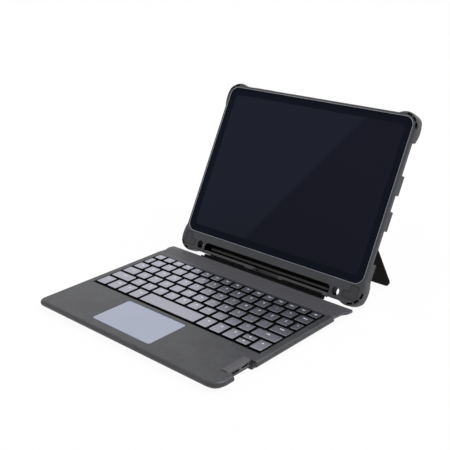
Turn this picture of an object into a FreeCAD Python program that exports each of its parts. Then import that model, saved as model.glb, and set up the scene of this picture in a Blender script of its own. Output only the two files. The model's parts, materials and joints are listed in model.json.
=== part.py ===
import FreeCAD, Part
import math
import os
import Sketcher
from types import SimpleNamespace
from FreeCAD import Placement, Rotation, Vector

# A tablet case with a keyboard: the keyboard stands on the table, a soft flap runs from its rear edge
# to the tongue of the case, and the case leans back on a kickstand.
# Sizes are in millimetres and degrees. The table is z = 0, +X is the user's right, +Y points away.
SIZES = {
    # Clearances: pieces fixed to each other, pieces that move past each other, pins in their bores
    "seat_gap": 0.1,
    "run_gap": 0.3,
    "pin_gap": 0.09,
    # Key caps and their rows
    "key_pitch": 17.0,
    "key_gap": 2.7,
    "row_pitch": 15.85,
    "row_gap": 2.7,
    "key_corner": 0.9,
    "cap_top": 10.8,
    "cap_height": 2.3,
    "cap_wall": 1.1,
    "function_count": 16,
    "function_depth": 10.2,
    "number_count": 12,
    "upper_count": 12,
    "home_count": 11,
    "lower_count": 10,
    "grave_width": 7.75,
    "backspace_width": 16.55,
    "tab_width": 14.95,
    "caps_width": 19.45,
    "shift_width": 27.95,
    "bottom_depth": 17.9,
    "left_modifier_count": 4,
    "right_modifier_count": 2,
    "arrow_gap": 1.6,
    # Layers in the key well
    "well_side": 3.0,
    "well_rear": 1.1,
    "well_front": 5.2,
    "well_bevel": 0.6,
    "key_deck_drop": 1.9,
    "key_deck_wall": 1.6,
    "stack_level": 4.6,
    "stack_inset": 2.0,
    "backing_wall": 0.8,
    "membrane_wall": 0.4,
    "dome_wall": 0.6,
    # Palm rest and rim
    "deck_rear": 83.0,
    "deck_top": 10.4,
    "deck_corner": 14.0,
    "left_corner": 8.0,
    "rim_side": 7.5,
    "rim_rear": 2.8,
    "rim_front": 8.0,
    "rim_under": 4.2,
    "rim_roll": 3.0,
    "panel_wall": 1.8,
    # Lower tray
    "tray_inset": 7.2,
    "tray_rear": 2.3,
    "tray_corner": 9.0,
    "tray_floor": 1.6,
    "tray_side": 2.4,
    "tray_flare": 25.0,
    "rib_width": 2.0,
    "rib_pitch": 28.0,
    "rib_count": 4,
    "post_radius": 2.5,
    "post_inset": 4.0,
    # Trackpad
    "pad_width": 81.7,
    "pad_depth": 48.6,
    "pad_corner": 2.5,
    "pad_x": -11.1,
    "pad_setback": 3.1,
    "pad_margin": 11.8,
    "pad_wall": 1.2,
    "pad_drop": 0.1,
    "pad_slip": 0.4,
    "pad_air": 0.5,
    "board_wall": 1.2,
    "board_inset": 5.0,
    # Battery and control board under the palm rest
    "battery_width": 50.0,
    "battery_depth": 40.0,
    "battery_height": 4.0,
    "battery_corner": 3.0,
    "control_width": 60.0,
    "control_depth": 40.0,
    "control_level": 4.4,
    # Port block in the right-hand rim
    "port_setback": 7.8,
    "port_width": 7.4,
    "port_length": 29.8,
    "port_front": 22.8,
    "port_top": 11.0,
    "port_bevel": 1.2,
    "bay_depth": 4.0,
    "socket_length": 8.9,
    "socket_height": 3.2,
    "socket_corner": 1.55,
    "socket_wall": 0.35,
    "socket_depth": 6.8,
    "socket_place": 21.7,
    "socket_level": 7.4,
    "tongue_wall": 0.7,
    "switch_slot": 9.3,
    "switch_height": 2.4,
    "switch_depth": 5.6,
    "switch_place": 10.0,
    "switch_level": 7.0,
    "knob_length": 5.3,
    "knob_depth": 3.0,
    "knob_proud": 0.4,
    "knob_travel": 3.0,
    "charge_radius": 0.8,
    "charge_place": 28.0,
    "charge_depth": 3.0,
    "light_radius": 0.6,
    "light_inset": 36.0,
    "light_pitch": 7.4,
    "light_setback": 4.0,
    # Soft flap between the keyboard and the case
    "crease_out": 0.9,
    "crease_level": 8.9,
    "flap_length": 30.6,
    "flap_slope": 4.8,
    "flap_wall": 2.6,
    "flap_inset": 0.8,
    "ear_width": 260.8,
    "ear_start": 4.5,
    "ear_corner": 8.0,
    "flap_setback": 1.2,
    "flap_edge": 1.0,
    "rib_groove": 0.9,
    "rib_depth": 0.4,
    "rib_first": 5.0,
    "rib_step": 3.6,
    "rib_rows": 5,
    # Tongue of the case and its magnets
    "bead_radius": 1.5,
    "bead_drop": 4.0,
    "bead_reach": 7.0,
    "dock_width": 168.0,
    "web_wall": 0.8,
    "dock_front": 3.0,
    "dock_back": 3.5,
    "magnet_length": 52.0,
    "magnet_depth": 4.0,
    "magnet_height": 2.0,
    "keeper_height": 1.2,
    # Tablet
    "tablet_width": 248.6,
    "tablet_height": 179.5,
    "tablet_depth": 7.0,
    "tablet_corner": 11.0,
    "tablet_wall": 2.0,
    "tablet_floor": 2.4,
    "glass_wall": 1.0,
    "camera_radius": 7.0,
    "camera_height": 1.4,
    "camera_inset": 19.0,
    # Bumper frame
    "case_angle": 62.0,
    "tablet_gap": 0.3,
    "frame_wall": 1.9,
    "frame_corner": 13.0,
    "frame_front": 1.0,
    "frame_back": 11.8,
    "lip_cover": 1.0,
    "chin_height": 20.2,
    "bulge_radius": 18.0,
    "bulge_inset": 14.2,
    "bulge_drop": 15.6,
    "bulge_blend": 4.0,
    "front_round": 2.0,
    "back_bevel": 2.0,
    "slot_drop": 7.7,
    "slot_width": 8.8,
    "slot_length": 178.0,
    "slot_depth": 8.6,
    "slot_round": 4.3,
    "notch_x": 4.8,
    "notch_width": 35.2,
    "rail_recess": 0.5,
    "rail_end": 1.8,
    "strap_radius": 4.5,
    "strap_place": 96.6,
    "speaker_length": 35.5,
    "speaker_place": 47.0,
    "charge_port_length": 17.5,
    "cutout_lip": 1.5,
    "cutout_relief": 1.9,
    "vent_radius": 15.6,
    "vent_width": 1.2,
    "vent_depth": 0.8,
    "vent_sweep": 22.0,
    "vent_step": 29.0,
    "foot_pad_width": 17.4,
    "foot_pad_height": 7.4,
    "step_pad_width": 9.8,
    "step_pad_height": 7.2,
    "pad_edge": 8.3,
    "pad_base": 4.7,
    "pad_round": 1.6,
    "pad_sink": 0.8,
    # Push caps in the frame
    "button_length": 11.0,
    "button_height": 3.2,
    "button_level": 4.2,
    "button_travel": 0.5,
    "button_proud": 0.6,
    "volume_place": 79.0,
    "volume_step": 14.0,
    # Rear panel and kickstand
    "panel_gap": 0.2,
    "panel_bevel": 0.8,
    "kick_height": 63.3,
    "kick_wall": 2.2,
    "kick_sink": 0.1,
    "kick_recess": 2.7,
    "kick_clear": 0.8,
    "kick_top": 103.0,
    "kick_foot": 119.5,
    "kick_leg": 79.2,
    "kick_round": 6.0,
    "foot_width": 200.0,
    "foot_height": 2.4,
    "foot_proud": 0.6,
    "foot_edge": 1.05,
    "foot_lift": 0.15,
    "hinge_radius": 0.6,
    "hinge_hold": 6.0,
}


class Size:
    """A length or angle with its sheet expression, so that a drawing is bound to the sheet."""

    def __init__(self, text, value):
        self.text = text
        self.value = value

    def __add__(self, other):
        other = as_size(other)
        return Size(f"({self.text} + {other.text})", self.value + other.value)

    def __sub__(self, other):
        other = as_size(other)
        return Size(f"({self.text} - {other.text})", self.value - other.value)

    def __mul__(self, other):
        other = as_size(other)
        return Size(f"({self.text} * {other.text})", self.value * other.value)

    def __truediv__(self, other):
        other = as_size(other)
        return Size(f"({self.text} / {other.text})", self.value / other.value)

    def __rmul__(self, other):
        return as_size(other) * self

    def __neg__(self):
        return Size(f"(-1 * {self.text})", -self.value)


def as_size(number):
    return number if isinstance(number, Size) else Size(str(number), number)


def sine(angle):
    return Size(f"sin({angle.text} * 1 deg)", math.sin(math.radians(angle.value)))


def cosine(angle):
    return Size(f"cos({angle.text} * 1 deg)", math.cos(math.radians(angle.value)))


def angle_of_sine(ratio):
    return Size(f"asin({ratio.text})", math.degrees(math.asin(ratio.value)))


doc = FreeCAD.newDocument("tablet_keyboard_case")
sheet = doc.addObject("Spreadsheet::Sheet", "Size")
for row, (alias, value) in enumerate(SIZES.items(), 1):
    sheet.set(f"A{row}", alias)
    sheet.set(f"B{row}", str(value))
    sheet.setAlias(f"B{row}", alias)
doc.recompute()
size = SimpleNamespace(**{alias: Size(f"Size.{alias}", value) for alias, value in SIZES.items()})
pieces = []


def new_piece(label, frame=None):
    """A body that becomes one node; frame is (y, z, angle, axis) of a leaning part of the case."""
    body = doc.addObject("PartDesign::Body", label)
    body.Label = label
    if frame:
        y, z, angle, axis = frame
        body.Placement = Placement(Vector(0, y.value, z.value), Rotation(axis, angle.value))
        body.setExpression("Placement.Base.y", y.text)
        body.setExpression("Placement.Base.z", z.text)
        body.setExpression("Placement.Rotation.Angle", angle.text)
    pieces.append(body)
    return body


def new_sketch(body, x, y, level, role="XY_Plane", turn=None):
    """A sketch on an origin plane. On the YZ plane x, y and level run along Y, Z and X."""
    sketch = body.newObject("Sketcher::SketchObject", f"{body.Name}_sketch")
    base = next(item for item in body.Origin.OriginFeatures if item.Role == role)
    sketch.AttachmentSupport = [(base, "")]
    sketch.MapMode = "FlatFace"
    sketch.AttachmentOffset = Placement(Vector(), turn or Rotation())
    for axis, place in zip("xyz", (x, y, level)):
        sketch.setExpression(f"AttachmentOffset.Base.{axis}", as_size(place).text)
    return sketch


def dimension(sketch, name, kind, *terms):
    """Add a named dimension; the last term is its size."""
    length = as_size(terms[-1])
    index = sketch.addConstraint(Sketcher.Constraint(kind, *terms[:-1], length.value))
    sketch.renameConstraint(index, name)
    sketch.setExpression(f"Constraints.{name}", length.text)


def draw_rectangle(sketch, width, depth, corner=None, bevelled=False):
    """A rectangle about the sketch origin, with equal round or bevelled corners where a corner is given."""
    across = as_size(width).value / 2
    along = as_size(depth).value / 2
    cut = as_size(corner).value if corner else 0
    ends = [
        ((-across + cut, -along), (across - cut, -along)),
        ((across, -along + cut), (across, along - cut)),
        ((across - cut, along), (-across + cut, along)),
        ((-across, along - cut), (-across, -along + cut)),
    ]
    lines = [sketch.addGeometry(Part.LineSegment(Vector(*a, 0), Vector(*b, 0)), False) for a, b in ends]
    for i, line in enumerate(lines):
        sketch.addConstraint(Sketcher.Constraint("Vertical" if i % 2 else "Horizontal", line))
    if corner and bevelled:
        cuts = []
        for i in range(4):
            start = Vector(*ends[i][1], 0)
            end = Vector(*ends[(i + 1) % 4][0], 0)
            cuts.append(sketch.addGeometry(Part.LineSegment(start, end), False))
        for i in range(4):
            sketch.addConstraint(Sketcher.Constraint("Coincident", lines[i], 2, cuts[i], 1))
            sketch.addConstraint(Sketcher.Constraint("Coincident", cuts[i], 2, lines[(i + 1) % 4], 1))
        for i in range(1, 4):
            facing = "Perpendicular" if i % 2 else "Parallel"
            sketch.addConstraint(Sketcher.Constraint("Equal", cuts[0], cuts[i]))
            sketch.addConstraint(Sketcher.Constraint(facing, cuts[0], cuts[i]))
        sketch.addConstraint(Sketcher.Constraint("Symmetric", lines[0], 1, lines[2], 1, -1, 1))
        dimension(sketch, "bevel_across", "DistanceX", cuts[0], 1, cuts[0], 2, corner)
        dimension(sketch, "bevel_along", "DistanceY", cuts[0], 1, cuts[0], 2, corner)
    elif corner:
        arcs = []
        for i, (side, end) in enumerate(((1, -1), (1, 1), (-1, 1), (-1, -1))):
            centre = Vector(side * (across - cut), end * (along - cut), 0)
            start = math.radians(90 * i - 90)
            circle = Part.Circle(centre, Vector(0, 0, 1), cut)
            arcs.append(sketch.addGeometry(Part.ArcOfCircle(circle, start, start + math.pi / 2), False))
        for i in range(4):
            sketch.addConstraint(Sketcher.Constraint("Tangent", lines[i], 2, arcs[i], 1))
            sketch.addConstraint(Sketcher.Constraint("Tangent", arcs[i], 2, lines[(i + 1) % 4], 1))
        for arc in arcs[1:]:
            sketch.addConstraint(Sketcher.Constraint("Equal", arcs[0], arc))
        sketch.addConstraint(Sketcher.Constraint("Symmetric", arcs[0], 3, arcs[2], 3, -1, 1))
        dimension(sketch, "corner", "Radius", arcs[0], corner)
    else:
        for i in range(4):
            sketch.addConstraint(Sketcher.Constraint("Coincident", lines[i], 2, lines[(i + 1) % 4], 1))
        sketch.addConstraint(Sketcher.Constraint("Symmetric", lines[0], 1, lines[2], 1, -1, 1))
    dimension(sketch, "width", "DistanceX", lines[3], 1, lines[1], 2, width)
    dimension(sketch, "depth", "DistanceY", lines[0], 1, lines[2], 2, depth)


def draw_circle(sketch, radius):
    circle = Part.Circle(Vector(), Vector(0, 0, 1), as_size(radius).value)
    index = sketch.addGeometry(circle, False)
    sketch.addConstraint(Sketcher.Constraint("Coincident", index, 3, -1, 1))
    dimension(sketch, "radius", "Radius", index, radius)


def draw_stand(sketch, near, far, length, corner):
    """A symmetric trapezium from half-width near to far, with its two far corners rounded."""
    a, b, c, r = near.value, far.value, length.value, corner.value
    slant = math.atan2(c, b - a)
    cut = r / math.tan(slant / 2)
    low = Vector(b - cut * math.cos(slant), c - cut * math.sin(slant), 0)
    near_edge = Part.LineSegment(Vector(-a, 0, 0), Vector(a, 0, 0))
    right_edge = Part.LineSegment(Vector(a, 0, 0), low)
    far_edge = Part.LineSegment(Vector(b - cut, c, 0), Vector(cut - b, c, 0))
    left_edge = Part.LineSegment(Vector(-low.x, low.y, 0), Vector(-a, 0, 0))
    lines = [sketch.addGeometry(edge, False) for edge in (near_edge, right_edge, far_edge, left_edge)]
    tilt = slant - math.pi / 2
    right_round = Part.Circle(Vector(b - cut, c - r, 0), Vector(0, 0, 1), r)
    left_round = Part.Circle(Vector(cut - b, c - r, 0), Vector(0, 0, 1), r)
    arcs = [
        sketch.addGeometry(Part.ArcOfCircle(right_round, tilt, math.pi / 2), False),
        sketch.addGeometry(Part.ArcOfCircle(left_round, math.pi / 2, math.pi - tilt), False),
    ]
    tips = [sketch.addGeometry(Part.Point(Vector(side * b, c, 0)), True) for side in (1, -1)]
    sketch.addConstraint(Sketcher.Constraint("Coincident", lines[0], 2, lines[1], 1))
    sketch.addConstraint(Sketcher.Constraint("Coincident", lines[3], 2, lines[0], 1))
    sketch.addConstraint(Sketcher.Constraint("Tangent", lines[1], 2, arcs[0], 1))
    sketch.addConstraint(Sketcher.Constraint("Tangent", arcs[0], 2, lines[2], 1))
    sketch.addConstraint(Sketcher.Constraint("Tangent", lines[2], 2, arcs[1], 1))
    sketch.addConstraint(Sketcher.Constraint("Tangent", arcs[1], 2, lines[3], 1))
    sketch.addConstraint(Sketcher.Constraint("Equal", arcs[0], arcs[1]))
    sketch.addConstraint(Sketcher.Constraint("Symmetric", lines[0], 1, lines[0], 2, -1, 1))
    sketch.addConstraint(Sketcher.Constraint("Horizontal", lines[0]))
    for tip, side in zip(tips, (lines[1], lines[3])):
        sketch.addConstraint(Sketcher.Constraint("PointOnObject", tip, 1, side))
        sketch.addConstraint(Sketcher.Constraint("PointOnObject", tip, 1, lines[2]))
    sketch.addConstraint(Sketcher.Constraint("Symmetric", tips[0], 1, tips[1], 1, -2))
    dimension(sketch, "corner", "Radius", arcs[0], corner)
    dimension(sketch, "near", "DistanceX", lines[0], 1, lines[0], 2, 2 * near)
    dimension(sketch, "far", "DistanceX", tips[1], 1, tips[0], 1, 2 * far)
    dimension(sketch, "length", "DistanceY", lines[0], 2, tips[0], 1, length)


def extrude(body, sketch, height, kind):
    feature = body.newObject(f"PartDesign::{kind}", f"{body.Name}_{kind.lower()}")
    feature.Profile = sketch
    feature.setExpression("Length", as_size(height).text)
    sketch.Visibility = False
    return feature


def slab(body, width, depth, corner, x, y, bottom, top, role="XY_Plane"):
    """Add a block between two levels."""
    sketch = new_sketch(body, x, y, bottom, role)
    draw_rectangle(sketch, width, depth, corner)
    return extrude(body, sketch, as_size(top) - bottom, "Pad")


def hollow(body, width, depth, corner, x, y, bottom, top, role="XY_Plane"):
    """Take a block out between two levels."""
    sketch = new_sketch(body, x, y, top, role)
    draw_rectangle(sketch, width, depth, corner)
    return extrude(body, sketch, as_size(top) - bottom, "Pocket")


def disc(body, radius, x, y, bottom, top, role="XY_Plane"):
    """Add a round bar between two levels."""
    sketch = new_sketch(body, x, y, bottom, role)
    draw_circle(sketch, radius)
    return extrude(body, sketch, as_size(top) - bottom, "Pad")


def bore(body, radius, x, y, bottom, top, role="XY_Plane"):
    """Take a round hole out between two levels."""
    sketch = new_sketch(body, x, y, top, role)
    draw_circle(sketch, radius)
    return extrude(body, sketch, as_size(top) - bottom, "Pocket")


def repeat(body, features, pitch, count, axis="H_Axis"):
    """Repeat features in a row along their sketch's axis."""
    pattern = body.newObject("PartDesign::LinearPattern", f"{body.Name}_row")
    pattern.Originals = features
    pattern.Direction = (features[0].Profile[0], [axis])
    pattern.setExpression("Length", (as_size(pitch) * (as_size(count) - 1)).text)
    pattern.setExpression("Occurrences", as_size(count).text)
    body.Tip = pattern
    return pattern


def dress(body, kind, amount, test):
    """Round or bevel the edges of the body so far that pass the test."""
    doc.recompute()
    base = body.Tip
    names = [f"Edge{i}" for i, edge in enumerate(base.Shape.Edges, 1) if test(edge)]
    feature = body.newObject(f"PartDesign::{kind}", f"{body.Name}_{kind.lower()}")
    feature.Base = (base, names)
    feature.setExpression("Radius" if kind == "Fillet" else "Size", as_size(amount).text)
    return feature


def spans(edge, axis):
    """Lowest and highest coordinate of an edge along X, Y or Z."""
    box = edge.BoundBox
    return getattr(box, f"{axis}Min"), getattr(box, f"{axis}Max")


def at(edge, axis, place):
    """Whether the whole edge lies at one place along an axis."""
    low, high = spans(edge, axis)
    return abs(low - as_size(place).value) < 0.01 and abs(high - as_size(place).value) < 0.01


def upright(edge):
    """Whether an edge is a straight line along Z."""
    return at(edge, "X", edge.BoundBox.XMin) and at(edge, "Y", edge.BoundBox.YMin)


# Keyboard layout. The rows hang from the rear edge and the field is as wide as the number row.
field_width = size.grave_width + size.key_gap + size.number_count * size.key_pitch + size.backspace_width
field_left = -field_width / 2
key_width = size.key_pitch - size.key_gap
key_depth = size.row_pitch - size.row_gap
field_rear = size.deck_rear - size.rim_rear - size.well_rear
function_y = field_rear - size.function_depth / 2
function_pitch = (field_width + size.key_gap) / size.function_count
number_y = field_rear - size.function_depth - size.row_gap - key_depth / 2
upper_y = number_y - size.row_pitch
home_y = upper_y - size.row_pitch
lower_y = home_y - size.row_pitch
bottom_rear = lower_y - key_depth / 2 - size.row_gap
bottom_y = bottom_rear - size.bottom_depth / 2
field_front = bottom_rear - size.bottom_depth
well_rear_y = field_rear + size.well_rear
well_front_y = field_front - size.well_front
well_y = (well_rear_y + well_front_y) / 2
well_depth = well_rear_y - well_front_y
well_width = field_width + 2 * size.well_side

# Outline of the keyboard and the levels of its layers
deck_half = field_width / 2 + size.well_side + size.rim_side
deck_front = well_front_y - size.pad_setback - size.pad_depth - size.pad_margin
deck_depth = size.deck_rear - deck_front
deck_y = (size.deck_rear + deck_front) / 2
panel_under = size.deck_top - size.panel_wall
cap_under = size.cap_top - size.cap_height
key_deck_top = size.cap_top - size.key_deck_drop
key_deck_under = key_deck_top - size.key_deck_wall
backing_top = size.stack_level + size.backing_wall
membrane_under = backing_top + size.seat_gap
membrane_top = membrane_under + size.membrane_wall
dome_under = membrane_top + size.seat_gap
dome_top = dome_under + size.dome_wall
pad_y = well_front_y - size.pad_setback - size.pad_depth / 2
pad_top = size.deck_top - size.pad_drop
pad_under = pad_top - size.pad_wall
pad_board_top = pad_under - size.pad_air
pad_board_under = pad_board_top - size.board_wall
cavity_front = deck_front + size.rim_front
cavity_half = deck_half - size.rim_front
port_outer = deck_half - size.port_setback
port_inner = port_outer - size.port_width
port_y = deck_front + size.port_front + size.port_length / 2
port_start = deck_front + size.port_front
battery_x = (size.pad_x - size.pad_width / 2 - cavity_half) / 2
control_x = port_inner - size.run_gap - size.control_width / 2
light_x = deck_half - size.light_inset
light_y = well_front_y - size.light_setback

# Key groups: name, left end, cap width, pitch, number of caps, middle of the row, cap depth
space_width = field_width - 9 * size.key_pitch
space_left = field_left + 4 * size.key_pitch
right_block = space_left + space_width + size.key_gap
half_depth = (size.bottom_depth - size.arrow_gap) / 2
half_step = (half_depth + size.arrow_gap) / 2


def letter_row(left_name, left_width, name, count, right_name, y):
    """A row of equal caps with one wide cap at each end, which together fill the field."""
    first = field_left + left_width + size.key_gap
    last = first + count * size.key_pitch
    last_width = -field_left - last
    return [
        (left_name, field_left, left_width, size.key_pitch, 1, y, key_depth),
        (name, first, key_width, size.key_pitch, count, y, key_depth),
        (right_name, last, last_width, size.key_pitch, 1, y, key_depth),
    ]


def bottom_key(name, place, count, y=bottom_y, depth=size.bottom_depth):
    """Caps of the bottom row to the right of the space bar, counted in key pitches."""
    return (name, right_block + place * size.key_pitch, key_width, size.key_pitch, count, y, depth)


function_cap = function_pitch - size.key_gap
KEYS = [
    ("function_keys", field_left, function_cap, function_pitch, size.function_count,
     function_y, size.function_depth),
    *letter_row("grave_key", size.grave_width, "number_keys", size.number_count, "backspace_key", number_y),
    *letter_row("tab_key", size.tab_width, "upper_letter_keys", size.upper_count, "backslash_key", upper_y),
    *letter_row("caps_key", size.caps_width, "home_letter_keys", size.home_count, "enter_key", home_y),
    *letter_row("left_shift_key", size.shift_width, "lower_letter_keys", size.lower_count,
                "right_shift_key", lower_y),
    ("left_modifier_keys", field_left, key_width, size.key_pitch, size.left_modifier_count,
     bottom_y, size.bottom_depth),
    ("space_bar", space_left, space_width, size.key_pitch, 1, bottom_y, size.bottom_depth),
    bottom_key("right_modifier_keys", 0, size.right_modifier_count),
    bottom_key("left_arrow_key", 2, 1),
    bottom_key("up_arrow_key", 3, 1, bottom_y + half_step, half_depth),
    bottom_key("down_arrow_key", 3, 1, bottom_y - half_step, half_depth),
    bottom_key("right_arrow_key", 4, 1),
]


def build_caps():
    """Every group of key caps: shells with bevelled corners, open underneath."""
    for name, left, width, pitch, count, y, depth in KEYS:
        body = new_piece(name)
        x = left + width / 2
        sketch = new_sketch(body, x, y, cap_under)
        draw_rectangle(sketch, width, depth, size.key_corner, bevelled=True)
        cap = extrude(body, sketch, size.cap_height, "Pad")
        inside = width - 2 * size.cap_wall
        inside_top = size.cap_top - size.cap_wall
        shell = hollow(body, inside, depth - 2 * size.cap_wall, None, x, y, cap_under, inside_top)
        if as_size(count).value > 1:
            repeat(body, [cap, shell], pitch, count)


def build_key_deck():
    body = new_piece("key_deck")
    width = well_width - 2 * size.run_gap
    slab(body, width, well_depth - 2 * size.run_gap, None, 0, well_y, key_deck_under, key_deck_top)
    for _, left, width, pitch, count, y, depth in KEYS:
        x = left + width / 2
        across = width + 2 * size.run_gap
        opening = hollow(body, across, depth + 2 * size.run_gap, None, x, y, key_deck_under, key_deck_top)
        if as_size(count).value > 1:
            repeat(body, [opening], pitch, count)


def build_key_layers():
    """The switch layers that lie on the tray's ribs below the keys."""
    width = well_width - 2 * size.stack_inset
    depth = well_depth - 2 * size.stack_inset
    slab(new_piece("backing_plate"), width, depth, None, 0, well_y, size.stack_level, backing_top)
    slab(new_piece("switch_membrane"), width, depth, None, 0, well_y, membrane_under, membrane_top)
    slab(new_piece("dome_sheet"), width, depth, None, 0, well_y, dome_under, dome_top)


def build_top_cover():
    """Soft palm rest with a rolled rim on the front and sides."""
    body = new_piece("top_cover")
    slab(body, 2 * deck_half, deck_depth, None, 0, deck_y, size.rim_under, size.deck_top)
    for x, corner in ((-deck_half, size.left_corner), (deck_half, size.deck_corner)):
        dress(body, "Fillet", corner,
              lambda edge: upright(edge) and at(edge, "Y", deck_front) and at(edge, "X", x))
    dress(body, "Fillet", size.rim_roll,
          lambda edge: not upright(edge) and not at(edge, "Y", size.deck_rear))
    hollow(body, well_width, well_depth, None, 0, well_y, size.rim_under, size.deck_top)
    dress(body, "Chamfer", size.well_bevel,
          lambda edge: at(edge, "Z", size.deck_top) and at(edge, "Y", well_front_y))
    cavity_depth = well_front_y - cavity_front + size.run_gap
    cavity_y = cavity_front + cavity_depth / 2
    hollow(body, 2 * cavity_half, cavity_depth, None, 0, cavity_y, size.rim_under, panel_under)
    across = size.pad_width + 2 * size.pad_slip
    along = size.pad_depth + 2 * size.pad_slip
    opening_corner = size.pad_corner + size.pad_slip
    hollow(body, across, along, opening_corner, size.pad_x, pad_y, panel_under, size.deck_top)
    notch_width = 2 * (deck_half - port_inner + size.seat_gap)
    notch_length = size.port_length + 2 * size.run_gap
    hollow(body, notch_width, notch_length, None, deck_half, port_y, size.rim_under, size.deck_top)
    light = bore(body, size.light_radius + size.seat_gap, light_x, light_y, panel_under, size.deck_top)
    repeat(body, [light], size.light_pitch, 2)
    groove_y = size.deck_rear + size.crease_out
    groove = size.flap_wall / 2 + size.run_gap
    bore(body, groove, groove_y, size.crease_level, -deck_half, deck_half, "YZ_Plane")


def build_base_shell():
    """Lower tray: flared sides, a bay for plugs, cross ribs under the keys and posts under the boards."""
    body = new_piece("base_shell")
    width = 2 * (deck_half - size.tray_inset)
    depth = deck_depth - size.tray_inset - size.tray_rear
    tray_y = deck_y + (size.tray_inset - size.tray_rear) / 2
    top = size.rim_under - size.seat_gap
    tray = slab(body, width, depth, size.tray_corner, 0, tray_y, 0, top)
    tray.setExpression("TaperAngle", size.tray_flare.text)
    inner = size.tray_corner - size.tray_side
    inner_width = width - 2 * size.tray_side
    inner_depth = depth - 2 * size.tray_side
    hollow(body, inner_width, inner_depth, inner, 0, tray_y, size.tray_floor, top)
    bay_x = port_outer - size.bay_depth
    bay_length = size.port_length + 2 * size.run_gap
    bay_walls = bay_length + 2 * size.tray_side
    slab(body, size.bay_depth + size.tray_side, bay_walls, None,
         (port_outer + bay_x - size.tray_side) / 2, port_y, 0, top)
    hollow(body, 2 * (deck_half - bay_x), bay_length, None, deck_half, port_y, 0, top)
    rib_y = well_y - size.rib_pitch * (size.rib_count - 1) / 2
    rib_width = well_width - 4 * size.stack_inset
    rib_top = size.stack_level - size.seat_gap
    rib = slab(body, rib_width, size.rib_width, None, 0, rib_y, size.tray_floor, rib_top)
    repeat(body, [rib], size.rib_pitch, size.rib_count, "V_Axis")
    pad_board_width = size.pad_width - 2 * size.board_inset
    pad_board_depth = size.pad_depth - 2 * size.board_inset
    boards = [
        (size.pad_x, pad_board_width, pad_board_depth, pad_board_under),
        (control_x, size.control_width, size.control_depth, size.control_level),
    ]
    for x, board_width, board_depth, under in boards:
        across = board_width / 2 - size.post_inset
        along = board_depth / 2 - size.post_inset
        for side in (-1, 1):
            for end in (-1, 1):
                disc(body, size.post_radius, x + side * across, pad_y + end * along,
                     size.tray_floor, under - size.seat_gap)


def build_palm_pieces():
    """Trackpad, its board, the battery, the control board and the light pipes."""
    plate = new_piece("trackpad")
    slab(plate, size.pad_width, size.pad_depth, size.pad_corner, size.pad_x, pad_y, pad_under, pad_top)
    board_width = size.pad_width - 2 * size.board_inset
    board_depth = size.pad_depth - 2 * size.board_inset
    board = new_piece("trackpad_board")
    slab(board, board_width, board_depth, None, size.pad_x, pad_y, pad_board_under, pad_board_top)
    cell = new_piece("battery")
    cell_under = size.tray_floor + size.seat_gap
    slab(cell, size.battery_width, size.battery_depth, size.battery_corner, battery_x, pad_y,
         cell_under, cell_under + size.battery_height)
    control_top = size.control_level + size.board_wall
    control = new_piece("control_board")
    slab(control, size.control_width, size.control_depth, None, control_x, pad_y,
         size.control_level, control_top)
    lights = new_piece("indicator_lights")
    light = disc(lights, size.light_radius, light_x, light_y, panel_under, size.deck_top)
    repeat(lights, [light], size.light_pitch, 2)


def build_port_block():
    """Hard block in the rim's notch with the socket, the sliding switch and the charge light."""
    slip = size.seat_gap
    body = new_piece("port_block")
    x = (port_inner + port_outer) / 2
    slab(body, size.port_width, size.port_length, None, x, port_y, size.rim_under + slip, size.port_top)
    dress(body, "Chamfer", size.port_bevel,
          lambda edge: at(edge, "X", port_outer) and at(edge, "Z", size.port_top))
    socket_y = port_start + size.socket_place
    switch_y = port_start + size.switch_place
    charge_y = port_start + size.charge_place
    socket_back = port_outer - size.socket_depth
    switch_back = port_outer - size.switch_depth
    light_back = port_outer - size.charge_depth
    level = size.socket_level
    hollow(body, size.socket_length + 2 * slip, size.socket_height + 2 * slip, size.socket_corner + slip,
           socket_y, level, socket_back - slip, port_outer, "YZ_Plane")
    hollow(body, size.switch_slot, size.switch_height, None,
           switch_y, size.switch_level, switch_back, port_outer, "YZ_Plane")
    bore(body, size.charge_radius + slip, charge_y, size.switch_level, light_back, port_outer, "YZ_Plane")

    socket = new_piece("usb_socket")
    slab(socket, size.socket_length, size.socket_height, size.socket_corner,
         socket_y, level, socket_back, port_outer - slip, "YZ_Plane")
    inner = size.socket_corner - size.socket_wall
    inner_length = size.socket_length - 2 * size.socket_wall
    inner_height = size.socket_height - 2 * size.socket_wall
    hollow(socket, inner_length, inner_height, inner,
           socket_y, level, socket_back + size.socket_wall, port_outer - slip, "YZ_Plane")
    slab(socket, size.socket_length - 2 * inner, size.tongue_wall, None,
         socket_y, level, socket_back, port_outer - size.socket_corner, "YZ_Plane")

    knob_back = port_outer - size.knob_depth
    knob_y = switch_y - size.knob_travel / 2
    knob_height = size.switch_height - 2 * size.run_gap
    slab(new_piece("power_switch"), size.knob_length, knob_height, None,
         knob_y, size.switch_level, knob_back, port_outer + size.knob_proud, "YZ_Plane")
    base = new_piece("switch_base")
    slab(base, size.switch_slot - 2 * slip, size.switch_height - 2 * slip, None,
         switch_y, size.switch_level, switch_back + slip, knob_back - size.run_gap, "YZ_Plane")
    lamp = new_piece("charge_light")
    disc(lamp, size.charge_radius, charge_y, size.switch_level, light_back + slip, port_outer, "YZ_Plane")


# The flap turns about the crease at the rear of the keyboard, the case about the bead at the flap's end.
X_AXIS = Vector(1, 0, 0)
crease_y = size.deck_rear + size.crease_out
flap_frame = (crease_y, size.crease_level, size.flap_slope, -X_AXIS)
hinge_y = crease_y + size.flap_length * cosine(size.flap_slope)
hinge_z = size.crease_level - size.flap_length * sine(size.flap_slope)

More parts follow.
